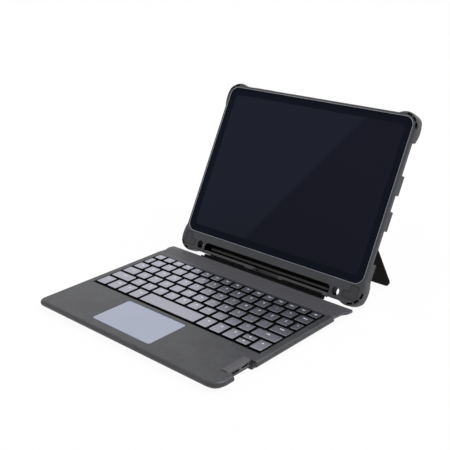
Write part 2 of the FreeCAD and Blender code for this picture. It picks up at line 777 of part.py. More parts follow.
# In the case's own frame X is across, Y runs up the tablet and Z points out of its glass,
# with the origin in the middle of the lower edge of the visible glass.
view_width = size.tablet_width - 2 * size.lip_cover
view_height = size.tablet_height - 2 * size.lip_cover
tablet_y = view_height / 2
pocket_width = size.tablet_width + 2 * size.tablet_gap
pocket_height = size.tablet_height + 2 * size.tablet_gap
pocket_bottom = -size.lip_cover - size.tablet_gap
frame_half = pocket_width / 2 + size.frame_wall
frame_top = pocket_bottom + pocket_height + size.frame_wall
chin_bottom = pocket_bottom - size.chin_height
bead_up = chin_bottom - size.bead_drop
bead_out = size.bead_reach
case_y = hinge_y - bead_up * cosine(size.case_angle) + bead_out * sine(size.case_angle)
case_z = hinge_z - bead_up * sine(size.case_angle) - bead_out * cosine(size.case_angle)
case_frame = (case_y, case_z, size.case_angle, X_AXIS)
back = -size.frame_back
bulge_x = frame_half - size.bulge_inset
bulge_low = chin_bottom + size.bulge_drop
bulge_high = frame_top - size.bulge_drop
slot_top = pocket_bottom - size.slot_drop
slot_y = slot_top - size.slot_width / 2
slot_floor = size.frame_front - size.slot_depth
rail_top = slot_top - size.slot_width
glass_top = -size.seat_gap
glass_under = glass_top - size.glass_wall
tablet_back = glass_top - size.tablet_depth
panel_top = tablet_back - size.panel_gap
panel_back = back + size.panel_gap
camera_x = -size.tablet_width / 2 + size.camera_inset
camera_y = tablet_y + size.tablet_height / 2 - size.camera_inset

# Kickstand: its hinge line in the case frame, and the angle at which its foot meets the table
kick_y = pocket_bottom + size.kick_height
kick_z = back + size.kick_sink + size.kick_wall / 2
recess_floor = back + size.kick_recess
stand_y = case_y + kick_y * cosine(size.case_angle) - kick_z * sine(size.case_angle)
stand_z = case_z + kick_y * sine(size.case_angle) + kick_z * cosine(size.case_angle)
foot_round = size.kick_wall / 2
kick_drop = (stand_z - foot_round - size.foot_lift) / (size.kick_leg - foot_round)
stand_frame = (stand_y, stand_z, angle_of_sine(kick_drop), -X_AXIS)
pin_bore = size.hinge_radius + size.pin_gap


def build_hinge_flap():
    """Soft strip with a round front bead, ears at its rear corners and fine grooves on top."""
    body = new_piece("hinge_flap", flap_frame)
    half = size.flap_wall / 2
    width = 2 * (deck_half - size.flap_inset)
    rear = size.flap_length - size.flap_setback
    slab(body, width, rear, None, 0, rear / 2, -half, half)
    ear_length = rear - size.ear_start
    slab(body, size.ear_width, ear_length, size.ear_corner, 0, size.ear_start + ear_length / 2, -half, half)
    dress(body, "Chamfer", size.flap_edge,
          lambda edge: at(edge, "Y", rear) and abs(edge.CenterOfMass.z) > half.value / 2)
    disc(body, half, 0, 0, -width / 2, width / 2, "YZ_Plane")
    groove = hollow(body, width, size.rib_groove, None, 0, size.rib_first, half - size.rib_depth, half)
    repeat(body, [groove], size.rib_step, size.rib_rows, "V_Axis")
    seat = size.bead_radius + size.seat_gap
    end = size.dock_width / 2 + size.run_gap
    bore(body, seat, size.flap_length, 0, -end, end, "YZ_Plane")


def rail_spans():
    """Middle and length of the rails to the left and right of the finger notch."""
    end = size.slot_length / 2 - size.seat_gap
    left_inner = size.notch_x - size.notch_width / 2
    right_inner = size.notch_x + size.notch_width / 2
    return [((left_inner - end) / 2, left_inner + end), ((right_inner + end) / 2, end - right_inner)]


def build_dock():
    """Tongue with the hinge bead, its magnets, the rails they hold and the keepers in the rails."""
    slip = size.seat_gap
    half = size.dock_width / 2
    under = bead_up - size.web_wall / 2
    top = chin_bottom - size.run_gap
    middle_z = (size.dock_front - size.dock_back) / 2
    pocket_low = middle_z - size.magnet_depth / 2
    pocket_high = middle_z + size.magnet_depth / 2
    body = new_piece("dock_strip", case_frame)
    disc(body, size.bead_radius, bead_up, bead_out, -half, half, "YZ_Plane")
    slab(body, size.dock_width, size.web_wall, None, 0, bead_up, 0, bead_out)
    slab(body, size.dock_width, top - under, None, 0, (top + under) / 2, -size.dock_back, size.dock_front)
    magnets = new_piece("dock_magnets", case_frame)
    rails = new_piece("lower_rails", case_frame)
    keepers = new_piece("rail_keepers", case_frame)
    rail_low = slot_floor + slip
    rail_high = size.frame_front - size.rail_recess
    for x, length in rail_spans():
        hollow(body, size.magnet_length + 2 * slip, size.magnet_height + slip, None,
               x, top - (size.magnet_height + slip) / 2, pocket_low - slip, pocket_high + slip)
        slab(magnets, size.magnet_length, size.magnet_height, None,
             x, top - size.magnet_height / 2, pocket_low, pocket_high)
        slab(rails, length, rail_top - chin_bottom, size.rail_end,
             x, (rail_top + chin_bottom) / 2, rail_low, rail_high)
        hollow(rails, size.magnet_length + 2 * slip, size.keeper_height + slip, None,
               x, chin_bottom + (size.keeper_height + slip) / 2, pocket_low - slip, pocket_high + slip)
        slab(keepers, size.magnet_length, size.keeper_height, None,
             x, chin_bottom + size.keeper_height / 2, pocket_low, pocket_high)


def build_tablet():
    slip = size.seat_gap
    glass = new_piece("tablet_glass", case_frame)
    slab(glass, size.tablet_width, size.tablet_height, size.tablet_corner,
         0, tablet_y, glass_under, glass_top)
    body = new_piece("tablet_body", case_frame)
    top = glass_under - slip
    slab(body, size.tablet_width, size.tablet_height, size.tablet_corner,
         0, tablet_y, tablet_back, top)
    inner = size.tablet_corner - size.tablet_wall
    inner_width = size.tablet_width - 2 * size.tablet_wall
    inner_height = size.tablet_height - 2 * size.tablet_wall
    hollow(body, inner_width, inner_height, inner, 0, tablet_y, tablet_back + size.tablet_floor, top)
    camera = new_piece("tablet_camera", case_frame)
    lens_top = tablet_back - slip
    disc(camera, size.camera_radius, camera_x, camera_y, lens_top - size.camera_height, lens_top)


def recess(body, bottom, top):
    """Take the kickstand's shape out of the rear, with room above its hinge line to open past square."""
    half_turn = Rotation(Vector(0, 0, 1), 180)
    start = kick_y + size.kick_wall / 2 + size.kick_clear
    length = size.kick_leg + size.kick_wall / 2 + size.kick_clear + size.run_gap
    sketch = new_sketch(body, 0, start, top, turn=half_turn)
    draw_stand(sketch, size.kick_top + size.run_gap, size.kick_foot + size.run_gap, length, size.kick_round)
    extrude(body, sketch, top - bottom, "Pocket")


def build_back_panel():
    body = new_piece("back_panel", case_frame)
    slab(body, size.tablet_width, size.tablet_height, size.tablet_corner,
         0, tablet_y, panel_back, panel_top)
    dress(body, "Chamfer", size.panel_bevel, lambda edge: at(edge, "Z", panel_back))
    recess(body, panel_back, recess_floor)
    cut_ports(body, size.cutout_relief)
    window = size.camera_radius + size.run_gap
    bore(body, window, camera_x, camera_y, panel_back, panel_top)
    reach = size.kick_top + size.run_gap + size.hinge_hold
    bore(body, pin_bore, kick_y, kick_z, -reach, reach, "YZ_Plane")


def build_bumper():
    """Soft frame: a rounded slab with swollen corners, opened for the tablet, stylus and ports."""
    body = new_piece("bumper", case_frame)
    front = size.frame_front
    height = frame_top - chin_bottom
    slab(body, 2 * frame_half, height, size.frame_corner, 0, (frame_top + chin_bottom) / 2, back, front)
    for x in (-bulge_x, bulge_x):
        for y in (bulge_low, bulge_high):
            disc(body, size.bulge_radius, x, y, back, front)
    dress(body, "Fillet", size.bulge_blend, upright)
    dress(body, "Fillet", size.front_round, lambda edge: at(edge, "Z", front))
    dress(body, "Chamfer", size.back_bevel, lambda edge: at(edge, "Z", back))
    pocket_corner = size.tablet_corner + size.tablet_gap
    hollow(body, pocket_width, pocket_height, pocket_corner, 0, tablet_y, back, 0)
    hollow(body, view_width, view_height, size.tablet_corner - size.lip_cover, 0, tablet_y, 0, front)
    slot_reach = 2 * (slot_top - chin_bottom)
    hollow(body, size.slot_length, slot_reach, size.slot_round,
           0, slot_top - slot_reach / 2, slot_floor, front)
    for x in (-size.strap_place, size.strap_place):
        bore(body, size.strap_radius, x, slot_y, back, front)
    recess(body, back, recess_floor)
    cut_ports(body)
    cut_vents(body)
    slip = 2 * size.seat_gap
    for side in (-1, 1):
        for width, height, x, y in corner_pad_blocks(side):
            hollow(body, width + slip, height + slip, size.pad_round, x, y, front - size.pad_sink, front)
    cut_buttons(body)


def cut_ports(body, relief=0):
    """Speaker and charging cut-outs through the side walls, open to the rear; relief cuts further in."""
    wall = 2 * (frame_half - size.tablet_width / 2 + relief)
    low_y = tablet_y - size.speaker_place
    high_y = tablet_y + size.speaker_place
    cutouts = [
        (1, low_y, size.speaker_length),
        (1, tablet_y, size.charge_port_length),
        (1, high_y, size.speaker_length),
        (-1, low_y, size.speaker_length),
        (-1, high_y, size.speaker_length),
    ]
    for side, y, length in cutouts:
        hollow(body, wall, length, None, side * frame_half, y, back, -size.cutout_lip)


def cut_vents(body):
    """Three short arc grooves round the front of each swollen corner."""
    for side, end, first in ((1, 1, 45), (-1, 1, 135), (-1, -1, 225), (1, -1, 315)):
        x = side * bulge_x
        y = bulge_high if end > 0 else bulge_low
        for turn in (-1, 0, 1):
            middle = as_size(first) + turn * size.vent_step
            start = middle - size.vent_sweep / 2
            turned = Rotation(Vector(0, 1, 0), start.value)
            sketch = new_sketch(body, x, size.frame_front, -y, "XZ_Plane", turned)
            draw_vent(sketch)
            groove = body.newObject("PartDesign::Groove", f"{body.Name}_vent")
            groove.Profile = sketch
            groove.ReferenceAxis = (sketch, ["V_Axis"])
            groove.setExpression("Angle", size.vent_sweep.text)


def draw_vent(sketch):
    """Cross-section of a vent groove, square about the front face."""
    inner = size.vent_radius - size.vent_width / 2
    outer = size.vent_radius + size.vent_width / 2
    deep = size.vent_depth
    a, b, c = inner.value, outer.value, deep.value
    corners = [(a, -c), (b, -c), (b, c), (a, c)]
    lines = []
    for start, end in zip(corners, corners[1:] + corners[:1]):
        lines.append(sketch.addGeometry(Part.LineSegment(Vector(*start, 0), Vector(*end, 0)), False))
    for i in range(4):
        sketch.addConstraint(Sketcher.Constraint("Coincident", lines[i], 2, lines[(i + 1) % 4], 1))
        sketch.addConstraint(Sketcher.Constraint("Vertical" if i % 2 else "Horizontal", lines[i]))
    dimension(sketch, "inner", "DistanceX", -1, 1, lines[0], 1, inner)
    dimension(sketch, "outer", "DistanceX", -1, 1, lines[0], 2, outer)
    dimension(sketch, "below", "DistanceY", lines[1], 1, -1, 1, deep)
    dimension(sketch, "above", "DistanceY", -1, 1, lines[1], 2, deep)


def corner_pad_blocks(side):
    """The two rectangles of the stepped pad in a lower corner: width, height, middle x and y."""
    outer = frame_half - size.pad_edge / 2
    low = chin_bottom + size.pad_base
    foot_x = side * (outer - size.foot_pad_width / 2)
    step_x = side * (outer - size.step_pad_width / 2)
    step_height = size.step_pad_height + size.foot_pad_height / 2
    step_y = low + size.foot_pad_height / 2 + step_height / 2
    return [
        (size.foot_pad_width, size.foot_pad_height, foot_x, low + size.foot_pad_height / 2),
        (size.step_pad_width, step_height, step_x, step_y),
    ]


def build_corner_pads():
    body = new_piece("corner_pads", case_frame)
    bottom = size.frame_front - size.pad_sink + size.seat_gap
    for side in (-1, 1):
        for width, height, x, y in corner_pad_blocks(side):
            slab(body, width, height, size.pad_round - size.seat_gap, x, y, bottom, size.frame_front)


# Push caps: name, middle x and y, size across and up, in the case frame
button_inner = size.tablet_width / 2 + size.button_travel + size.run_gap
power_outer = bulge_x + size.bulge_radius
power_reach = power_outer - button_inner
top_inner = tablet_y + size.tablet_height / 2 + size.button_travel + size.run_gap
top_reach = frame_top + size.button_proud - top_inner
BUTTONS = [
    ("power_button", -(button_inner + power_reach / 2), bulge_high, power_reach, size.button_length),
    ("volume_up_button", -size.volume_place - size.volume_step / 2, top_inner + top_reach / 2,
     size.button_length, top_reach),
    ("volume_down_button", -size.volume_place + size.volume_step / 2, top_inner + top_reach / 2,
     size.button_length, top_reach),
]


def cut_buttons(body):
    """Slots for the push caps, from the tablet's pocket to the outside."""
    low = -size.button_level - size.button_height / 2 - size.run_gap
    high = -size.button_level + size.button_height / 2 + size.run_gap
    long = size.button_length + 2 * size.run_gap
    reach = 2 * size.bulge_radius
    for name, x, y, _, _ in BUTTONS:
        if name == "power_button":
            hollow(body, reach, long, None, -size.tablet_width / 2 - reach / 2, y, low, high)
        else:
            hollow(body, long, reach, None, x, tablet_y + size.tablet_height / 2 + reach / 2, low, high)


def build_buttons():
    low = -size.button_level - size.button_height / 2
    high = -size.button_level + size.button_height / 2
    for name, x, y, across, up in BUTTONS:
        slab(new_piece(name, case_frame), across, up, None, x, y, low, high)


def build_kickstand():
    """Folding stand: a flared plate with a round hinge edge, a rubber foot and two pins."""
    half = size.kick_wall / 2
    body = new_piece("kickstand", stand_frame)
    sketch = new_sketch(body, 0, 0, -half)
    plate = size.kick_leg - size.foot_proud
    draw_stand(sketch, size.kick_top, size.kick_foot, plate, size.kick_round)
    extrude(body, sketch, size.kick_wall, "Pad")
    disc(body, half, 0, 0, -size.kick_top, size.kick_top, "YZ_Plane")
    strip = size.foot_height + size.seat_gap
    hollow(body, size.foot_width + 2 * size.seat_gap, 2 * strip, None, 0, size.kick_leg, -half, half)
    for side in (-1, 1):
        inner = size.kick_top - size.hinge_hold
        outer = size.kick_top + size.run_gap
        start = inner if side > 0 else -outer
        bore(body, pin_bore, 0, 0, start, start + size.hinge_hold + size.run_gap, "YZ_Plane")

    foot = new_piece("kickstand_foot", stand_frame)
    middle = size.kick_leg - size.foot_height / 2
    slab(foot, size.foot_width, size.foot_height, None, 0, middle, -half, half)
    dress(foot, "Fillet", size.foot_edge,
          lambda edge: at(edge, "Y", size.kick_leg) and not upright(edge))

    pins = new_piece("hinge_pins", case_frame)
    for side in (-1, 1):
        inner = size.kick_top - size.hinge_hold + size.seat_gap
        outer = size.kick_top + size.run_gap + size.hinge_hold - size.seat_gap
        low = inner if side > 0 else -outer
        high = outer if side > 0 else -inner
        disc(pins, size.hinge_radius, kick_y, kick_z, low, high, "YZ_Plane")


build_base_shell()
build_top_cover()
build_key_deck()
build_key_layers()
build_palm_pieces()
build_port_block()
build_caps()
build_hinge_flap()
build_dock()
build_bumper()
build_corner_pads()
build_back_panel()
build_tablet()
build_buttons()
build_kickstand()
doc.recompute()

for item in doc.Objects:
    if "Invalid" in item.State or "Error" in item.State:
        raise RuntimeError(f"{item.Label} did not build: {item.State}")
os.makedirs("parts", exist_ok=True)
for body in pieces:
    if body.Shape.isNull() or not body.Shape.isValid():
        raise RuntimeError(f"{body.Label} has no sound shape")
    body.Shape.exportStep(f"parts/{body.Label}.step")
    print(body.Label, len(body.Shape.Solids), round(body.Shape.Volume, 1))
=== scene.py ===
# %% [markdown]
# # A tablet case with a keyboard
# The construction model gives every hard piece its place and size. This lesson dresses it: finishes for
# the moulded covers, metal-look key caps, key legends, the ribbed hinge strip and thin moulded beads.
# Everything is in metres and in the construction model's own frame, so nothing has to be fitted by eye.

# %% Load the construction model
import bmesh
import bpy
import json
import math
from mathutils import Matrix, Vector


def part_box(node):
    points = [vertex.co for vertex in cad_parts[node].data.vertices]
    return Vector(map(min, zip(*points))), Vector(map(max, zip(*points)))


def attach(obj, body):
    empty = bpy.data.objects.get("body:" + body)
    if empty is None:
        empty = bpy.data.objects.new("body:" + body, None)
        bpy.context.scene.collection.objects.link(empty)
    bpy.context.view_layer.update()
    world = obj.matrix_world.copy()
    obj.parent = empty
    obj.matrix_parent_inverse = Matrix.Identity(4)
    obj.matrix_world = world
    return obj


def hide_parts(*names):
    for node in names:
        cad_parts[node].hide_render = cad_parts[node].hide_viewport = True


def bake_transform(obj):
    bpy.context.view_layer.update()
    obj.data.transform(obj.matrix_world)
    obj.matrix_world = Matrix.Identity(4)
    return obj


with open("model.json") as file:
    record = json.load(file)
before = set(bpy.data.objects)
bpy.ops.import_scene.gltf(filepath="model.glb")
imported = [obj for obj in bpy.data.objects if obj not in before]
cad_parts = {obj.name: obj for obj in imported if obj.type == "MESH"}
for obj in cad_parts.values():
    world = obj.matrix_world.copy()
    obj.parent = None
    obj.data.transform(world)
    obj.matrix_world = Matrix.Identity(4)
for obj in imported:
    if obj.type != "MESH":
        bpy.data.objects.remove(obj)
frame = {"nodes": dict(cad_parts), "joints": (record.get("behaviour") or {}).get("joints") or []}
nodes = frame["nodes"]
joints = {joint["name"]: joint for joint in frame["joints"]}
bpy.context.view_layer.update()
MM = 0.001

# %% [markdown]
# ## Writing materials as sums
# A finish is a network of shader nodes. Adding them one by one hides what they do, so `Term` wraps a
# socket and lets Python operators add the Math nodes, and `Finish.node` adds any other kind of node.
# Patterns read Object coordinates. Every piece sits at the origin, so these are metres in the model's
# own frame.

# %% Shader terms and finishes
class Term:
    """A shader socket that takes part in Python sums."""

    def __init__(self, finish, socket):
        self.finish = finish
        self.socket = socket

    def apply(self, operation, *others):
        """A Math node that takes this term first."""
        values = dict(enumerate((self, *others)))
        return self.finish.node("ShaderNodeMath", {"operation": operation}, values)

    def __add__(self, other):
        return self.apply("ADD", other)

    def __sub__(self, other):
        return self.apply("SUBTRACT", other)

    def __mul__(self, other):
        return self.apply("MULTIPLY", other)

    def __abs__(self):
        return self.apply("ABSOLUTE")

    def most(self, other):
        return self.apply("MAXIMUM", other)

    def least(self, other):
        return self.apply("MINIMUM", other)


class Finish:
    """A material: one Principled surface and the nodes that feed it."""

    def __init__(self, name, **constants):
        self.material = bpy.data.materials.new(name)
        self.material.use_nodes = True
        self.tree = self.material.node_tree
        self.surface = self.tree.nodes["Principled BSDF"]
        for socket, value in constants.items():
            self.surface.inputs[socket.replace("_", " ")].default_value = value
        self.place = self.node("ShaderNodeTexCoord", output="Object")

    def node(self, kind, settings=None, values=None, output=0):
        """Add a node: its settings first, then the values or links of its sockets."""
        made = self.tree.nodes.new(kind)
        for name, setting in (settings or {}).items():
            setattr(made, name, setting)
        for name, value in (values or {}).items():
            if isinstance(value, Term):
                self.tree.links.new(value.socket, made.inputs[name])
            else:
                made.inputs[name].default_value = value
        return Term(self, made.outputs[output])

    def along(self, axis):
        """Distance along a direction, in metres."""
        values = {0: self.place, 1: axis}
        return self.node("ShaderNodeVectorMath", {"operation": "DOT_PRODUCT"}, values, "Value")

    def away(self, point):
        """Distance from a point, in metres."""
        values = {0: self.place, 1: point}
        return self.node("ShaderNodeVectorMath", {"operation": "DISTANCE"}, values, "Value")

    def length(self, x, y):
        """Length of the line that goes x one way and y the other."""
        return (x * x + y * y).apply("SQRT")

    def noise(self, feature, detail=2.0):
        """Soft random values about one half, with features of the given size."""
        values = {"Vector": self.place, "Scale": 1 / feature, "Detail": detail}
        return self.node("ShaderNodeTexNoise", None, values)

    def step(self, value, start, end):
        """0 at start, 1 at end, smooth between them and even beyond them."""
        limits = {"Value": value, "From Min": start, "From Max": end}
        return self.node("ShaderNodeMapRange", {"interpolation_type": "SMOOTHSTEP"}, limits)

    def within(self, value, limit, fade):
        """1 below the limit and 0 above it, with a soft edge."""
        return self.step(value, limit + fade, limit - fade)

    def beyond(self, value, limit, fade):
        """0 below the limit and 1 above it, with a soft edge."""
        return self.step(value, limit - fade, limit + fade)

    def mix(self, mask, first, second):
        """One colour where the mask is 0, the other where it is 1."""
        return self.node("ShaderNodeMix", {"data_type": "RGBA"}, {0: mask, 6: first, 7: second}, 2)

    def bump(self, height, depth):
        values = {"Height": height, "Distance": depth, "Strength": 1.0}
        return self.node("ShaderNodeBump", None, values, "Normal")

    def feed(self, **terms):
        for socket, term in terms.items():
            self.tree.links.new(term.socket, self.surface.inputs[socket.replace("_", " ")])
        return self.material


def paint(red, green, blue):
    """A colour as a screen shows it, 0 to 255, turned into the linear values that shaders use."""
    linear = [((c / 255 + 0.055) / 1.055) ** 2.4 if c > 10 else c / 255 / 12.92 for c in (red, green, blue)]
    return (*linear, 1.0)


# %% [markdown]
# ## Moulded covers
# The palm rest, the bumper and the hinge strip are soft-touch mouldings: a dull grey with faint clouds, a
# leathery grain and slightly shinier spots where hands rub. A photograph of a surface could do it, but
# noise has no seams, needs no file and stays the same size on every piece.

# %% Moulded finishes
CLOUD_SIZE = 18 * MM
CLOUD_EDGES = (0.35, 0.65)
RUB_SIZE = 35 * MM
RUB_DULL = 0.10
PORE_EDGES = (0.3, 0.7)
PORE_DULL = 0.12
OCTAVES = 3.0


def moulded(name, dark, light, roughness, grain, relief, **constants):
    """Clouds and pores in colour, pores and rubbed spots in shine. Grain and relief are in millimetres."""
    finish = Finish(name, **constants)
    clouds = finish.step(finish.noise(CLOUD_SIZE, OCTAVES), *CLOUD_EDGES)
    pores = finish.noise(grain * MM, OCTAVES)
    rubbed = finish.noise(RUB_SIZE)
    speckle = finish.step(pores, *PORE_EDGES)
    return finish.feed(
        Base_Color=finish.mix(clouds * 0.5 + speckle * 0.5, dark, light),
        Roughness=pores * PORE_DULL + rubbed * RUB_DULL + (roughness - (PORE_DULL + RUB_DULL) / 2),
        Normal=finish.bump(pores, relief * MM),
    )


# No sheen, for the two near-black finishes that paint shade.
NO_SHEEN_FOR_PAINTED_SHADE = {"Specular_IOR_Level": 0.1}
soft_cover = moulded("palm_rest_cover", paint(40, 40, 43), paint(60, 61, 66), 0.40, 1.6, 0.07)
pad_rubber = moulded("corner_pad_rubber", paint(48, 48, 53), paint(53, 53, 58), 0.60, 0.3, 0.03)
seam_rubber = moulded("seam_rubber", paint(14, 14, 16), paint(18, 18, 20), 0.70, 0.3, 0.02)
# The lip bead is painted far paler than the bumper's grey: a painted highlight along its round edge.
lip_rubber = moulded("lip_rubber", paint(132, 134, 140), paint(146, 148, 154), 0.42, 0.3, 0.02)
foot_rubber = moulded("foot_rubber", paint(18, 18, 18), paint(24, 24, 24), 0.75, 0.4, 0.04)
black_plastic = moulded(
    "black_plastic", paint(16, 13, 12), paint(21, 18, 16), 0.65, 0.25, 0.02, Specular_IOR_Level=0.08
)
tray_plastic = moulded("tray_plastic", paint(34, 34, 36), paint(40, 40, 42), 0.50, 0.4, 0.03)
# The key bed is black plastic painted darker than any other black here, without sheen: painted shade on the
# deck between and in front of the keys, on the dock strip and on the rail keepers.
key_bed = moulded("key_bed", paint(3, 3, 3), paint(5, 5, 5), 0.80, 0.3, 0.02, **NO_SHEEN_FOR_PAINTED_SHADE)
port_plastic = moulded("port_plastic", paint(72, 72, 77), paint(78, 78, 83), 0.42, 0.2, 0.01)
# The cap sides are black plastic painted darker still, without sheen, and the black reaches up over the
# soft top edge: painted shade in the gaps between the caps.
cap_side_painted_shade = moulded("key_cap_side", paint(3, 3, 3), paint(5, 5, 5), 0.60, 0.2, 0.01, **NO_SHEEN_FOR_PAINTED_SHADE)
legend_ink = moulded("legend_ink", paint(236, 238, 242), paint(244, 246, 250), 0.55, 0.2, 0.005)
light_pipe = moulded("light_pipe", paint(6, 6, 8), paint(9, 9, 11), 0.40, 0.3, 0.005, Coat_Weight=0.1)
thin_film = moulded("switch_film", paint(150, 150, 140), paint(164, 164, 154), 0.40, 0.5, 0.01)
circuit_board = moulded("circuit_board", paint(16, 60, 38), paint(22, 74, 46), 0.45, 0.5, 0.02)
cell_wrap = moulded("battery_wrap", paint(120, 122, 126), paint(140, 142, 146), 0.40, 0.6, 0.03)
print("materials with the moulded finishes", len(bpy.data.materials))

# %% [markdown]
# ## The hinge strip's cover
# The strip is the same moulding with grooves across it, which are duller and painted darker, a painted
# shade in each groove. The grooves are real in the mesh further down. A cosine along the strip finds them
# here, so finish and mesh share one list.

# %% Hinge strip finish
STRIP_SLOPE = math.radians(-4.8)
STRIP_START = Vector(joints["flap_fold"]["pos_m"])
GROOVE_PITCH = 3.6
GROOVES = [5.0 + GROOVE_PITCH * i for i in range(5)]
GROOVE_EDGES = (0.55, 0.95)
GROOVE_FADE = 0.2 * MM
GROOVE_DULL = 0.15
STRIP_PORE = 1.2 * MM
STRIP_RELIEF = 0.05 * MM
STRIP_ROUGHNESS = 0.50


def strip_finish():
    finish = Finish("hinge_strip_cover")
    rearward = Vector((0.0, math.cos(STRIP_SLOPE), math.sin(STRIP_SLOPE)))
    behind = finish.along(rearward) - STRIP_START.dot(rearward)
    wave = ((behind - GROOVES[0] * MM) * (2 * math.pi / (GROOVE_PITCH * MM))).apply("COSINE")
    first_edge = (GROOVES[0] - GROOVE_PITCH / 2) * MM + GROOVE_FADE
    last_edge = (GROOVES[-1] + GROOVE_PITCH / 2) * MM - GROOVE_FADE
    window = finish.beyond(behind, first_edge, GROOVE_FADE) * finish.within(behind, last_edge, GROOVE_FADE)
    groove = finish.step(wave, *GROOVE_EDGES) * window
    pores = finish.noise(STRIP_PORE, OCTAVES)
    cover = finish.mix(finish.step(pores, *PORE_EDGES), paint(60, 60, 64), paint(76, 76, 81))
    return finish.feed(
        # painted shade: the grooves darker than the cover round them
        Base_Color=finish.mix(groove, cover, paint(36, 36, 39)),
        Roughness=pores * PORE_DULL + groove * GROOVE_DULL + (STRIP_ROUGHNESS - PORE_DULL / 2),
        Normal=finish.bump(pores, STRIP_RELIEF),
    )


strip_cover = strip_finish()
print("hinge strip finish has", len(strip_cover.node_tree.nodes), "nodes")

# %% [markdown]
# ## Satin caps and the trackpad
# The cap tops and the trackpad mirror what lies behind them: bright where they face the open room, dark
# where the tablet stands in the way. That is a metal-like lacquer, so the gloss does the work and the
# colour stays one grey. Very fine speckle in the roughness keeps it from looking like a plain sheet.

# %% Satin finishes
SPECKLE_SIZE = 0.12 * MM
SPECKLE_RELIEF = 0.004 * MM
SPECKLE_DULL = 0.08
HAZE_SIZE = 25 * MM
HAZE_DULL = 0.06


def satin(name, dark, light, metal, roughness):
    finish = Finish(name, Metallic=metal)
    speckle = finish.noise(SPECKLE_SIZE, 1.0)
    haze = finish.noise(HAZE_SIZE)
    return finish.feed(
        Base_Color=finish.mix(haze, dark, light),
        Roughness=speckle * SPECKLE_DULL + haze * HAZE_DULL + (roughness - (SPECKLE_DULL + HAZE_DULL) / 2),
        Normal=finish.bump(speckle, SPECKLE_RELIEF),
    )


cap_top = satin("key_cap_lacquer", paint(160, 161, 173), paint(167, 168, 180), 0.92, 0.27)
trackpad_face = satin("trackpad_lacquer", paint(162, 168, 185), paint(168, 174, 191), 0.75, 0.34)
socket_metal = satin("socket_metal", paint(120, 120, 124), paint(150, 150, 154), 1.0, 0.30)
sheet_metal = satin("sheet_metal", paint(150, 152, 156), paint(172, 174, 178), 1.0, 0.38)
tablet_shell = satin("tablet_shell", paint(96, 98, 104), paint(106, 108, 114), 0.85, 0.42)
print("materials with the satin finishes", len(bpy.data.materials))

# %% [markdown]
# ## The tablet's glass
# Behind the glass lie a black border and a darker-than-slate display. A slanting line crosses the display,
# and on its upper left the display is painted a little lighter, a painted reflection. A border could be a
# second mesh, but
# then the glass would need a hole: a rounded-rectangle mask in the glass finish draws it sharp at any
# distance. The mask is the usual distance to a rounded box. The case leans back, so places on it are
# counted across it, up the glass and out of the glass.

# %% Case frame and glass finish
CASE_TURN = math.radians(62.0)
CASE_ORIGIN = Vector((0.0, 132.545, 25.568)) * MM
ACROSS = (1.0, 0.0, 0.0)
UP_GLASS = (0.0, math.cos(CASE_TURN), math.sin(CASE_TURN))
OUT_OF_GLASS = (0.0, -math.sin(CASE_TURN), math.cos(CASE_TURN))
case_frame = Matrix.Translation(CASE_ORIGIN) @ Matrix.Rotation(CASE_TURN, 4, "X")
GLASS_MIDDLE = 88.75
SCREEN_HALF_WIDTH = 114.8 * MM
SCREEN_HALF_HEIGHT = 80.2 * MM
SCREEN_CORNER = 5 * MM
SCREEN_FADE = 0.2 * MM
# The edge of the painted reflection on the display: a slanting line through this point.
GLARE_ACROSS = 68.7 * MM
GLARE_UP = 171.7 * MM
GLARE_TURN = math.radians(33.19)
GLARE_FADE = 0.4 * MM
SMEAR_SIZE = 30 * MM
SMEAR_DULL = 0.05
GLASS_ROUGHNESS = 0.05


def case_place(finish, axis):
    """Distance from the case's origin along one of its axes."""
    return finish.along(axis) - CASE_ORIGIN.dot(Vector(axis))


def display_glass():
    finish = Finish("display_glass", Specular_IOR_Level=0.012, IOR=1.5)
    across = case_place(finish, ACROSS)
    up = case_place(finish, UP_GLASS)
    over_x = (abs(across) - (SCREEN_HALF_WIDTH - SCREEN_CORNER)).most(0.0)
    over_y = (abs(up - GLASS_MIDDLE * MM) - (SCREEN_HALF_HEIGHT - SCREEN_CORNER)).most(0.0)
    border = finish.beyond(finish.length(over_x, over_y), SCREEN_CORNER, SCREEN_FADE)
    slant = (across - GLARE_ACROSS) * math.cos(GLARE_TURN) - (up - GLARE_UP) * math.sin(GLARE_TURN)
    out_of_glare = finish.beyond(slant, 0.0, GLARE_FADE)
    # lighter on the upper left of the slanting line: a painted reflection
    screen = finish.mix(out_of_glare, paint(37, 40, 53), paint(32, 33, 46))
    smears = finish.noise(SMEAR_SIZE, OCTAVES)
    return finish.feed(
        Base_Color=finish.mix(border, screen, paint(24, 27, 38)),
        Roughness=smears * SMEAR_DULL + GLASS_ROUGHNESS,
    )


glass = display_glass()
print("display finish has", len(glass.node_tree.nodes), "nodes")

# %% [markdown]
# ## The bumper
# The bumper is the same soft moulding. Inside the stylus slot, the strap holes and the slits round its
# corners, and on the face just round the slits, the finish paints shade: cutting them out as dark pieces of
# their own would leave seams in one moulding, so the finish darkens wherever the place lies in one of their
# outlines. It turns metallic there as well, because a black metal has no pale sheen, so the painted shade
# stays dark.

# %% Bumper finish
CHIN_UP = -13.4
SLOT_HALF_WIDTH = 89.2 * MM
SLOT_HALF_HEIGHT = 4.6 * MM
SLOT_RIM = 0.6 * MM
HOLE_ACROSS = 96.6
HOLE_RADIUS = 4.675 * MM
HOLE_FADE = 0.075 * MM
HOLE_RIM = 0.55 * MM
FRAME_MIDDLE = 79.6 * MM
CORNER_UP = 85.5 * MM
CORNER_ACROSS = 112.3 * MM
SLIT_ARC = 15.6 * MM
SLIT_HALF_WIDTH = 1.0 * MM
SLIT_DIRECTION = math.radians(45)
SLIT_SPACING = math.radians(29)
SLIT_HALF_TURN = math.radians(11)
SLIT_TURN_FADE = math.radians(0.5)
SLIT_FLOOR = -0.9 * MM
EDGE_FADE = 0.1 * MM
RIM_FADE = 0.15 * MM
BUMPER_PORE = 0.3 * MM
BUMPER_RELIEF = 0.02 * MM
BUMPER_ROUGHNESS = 0.52


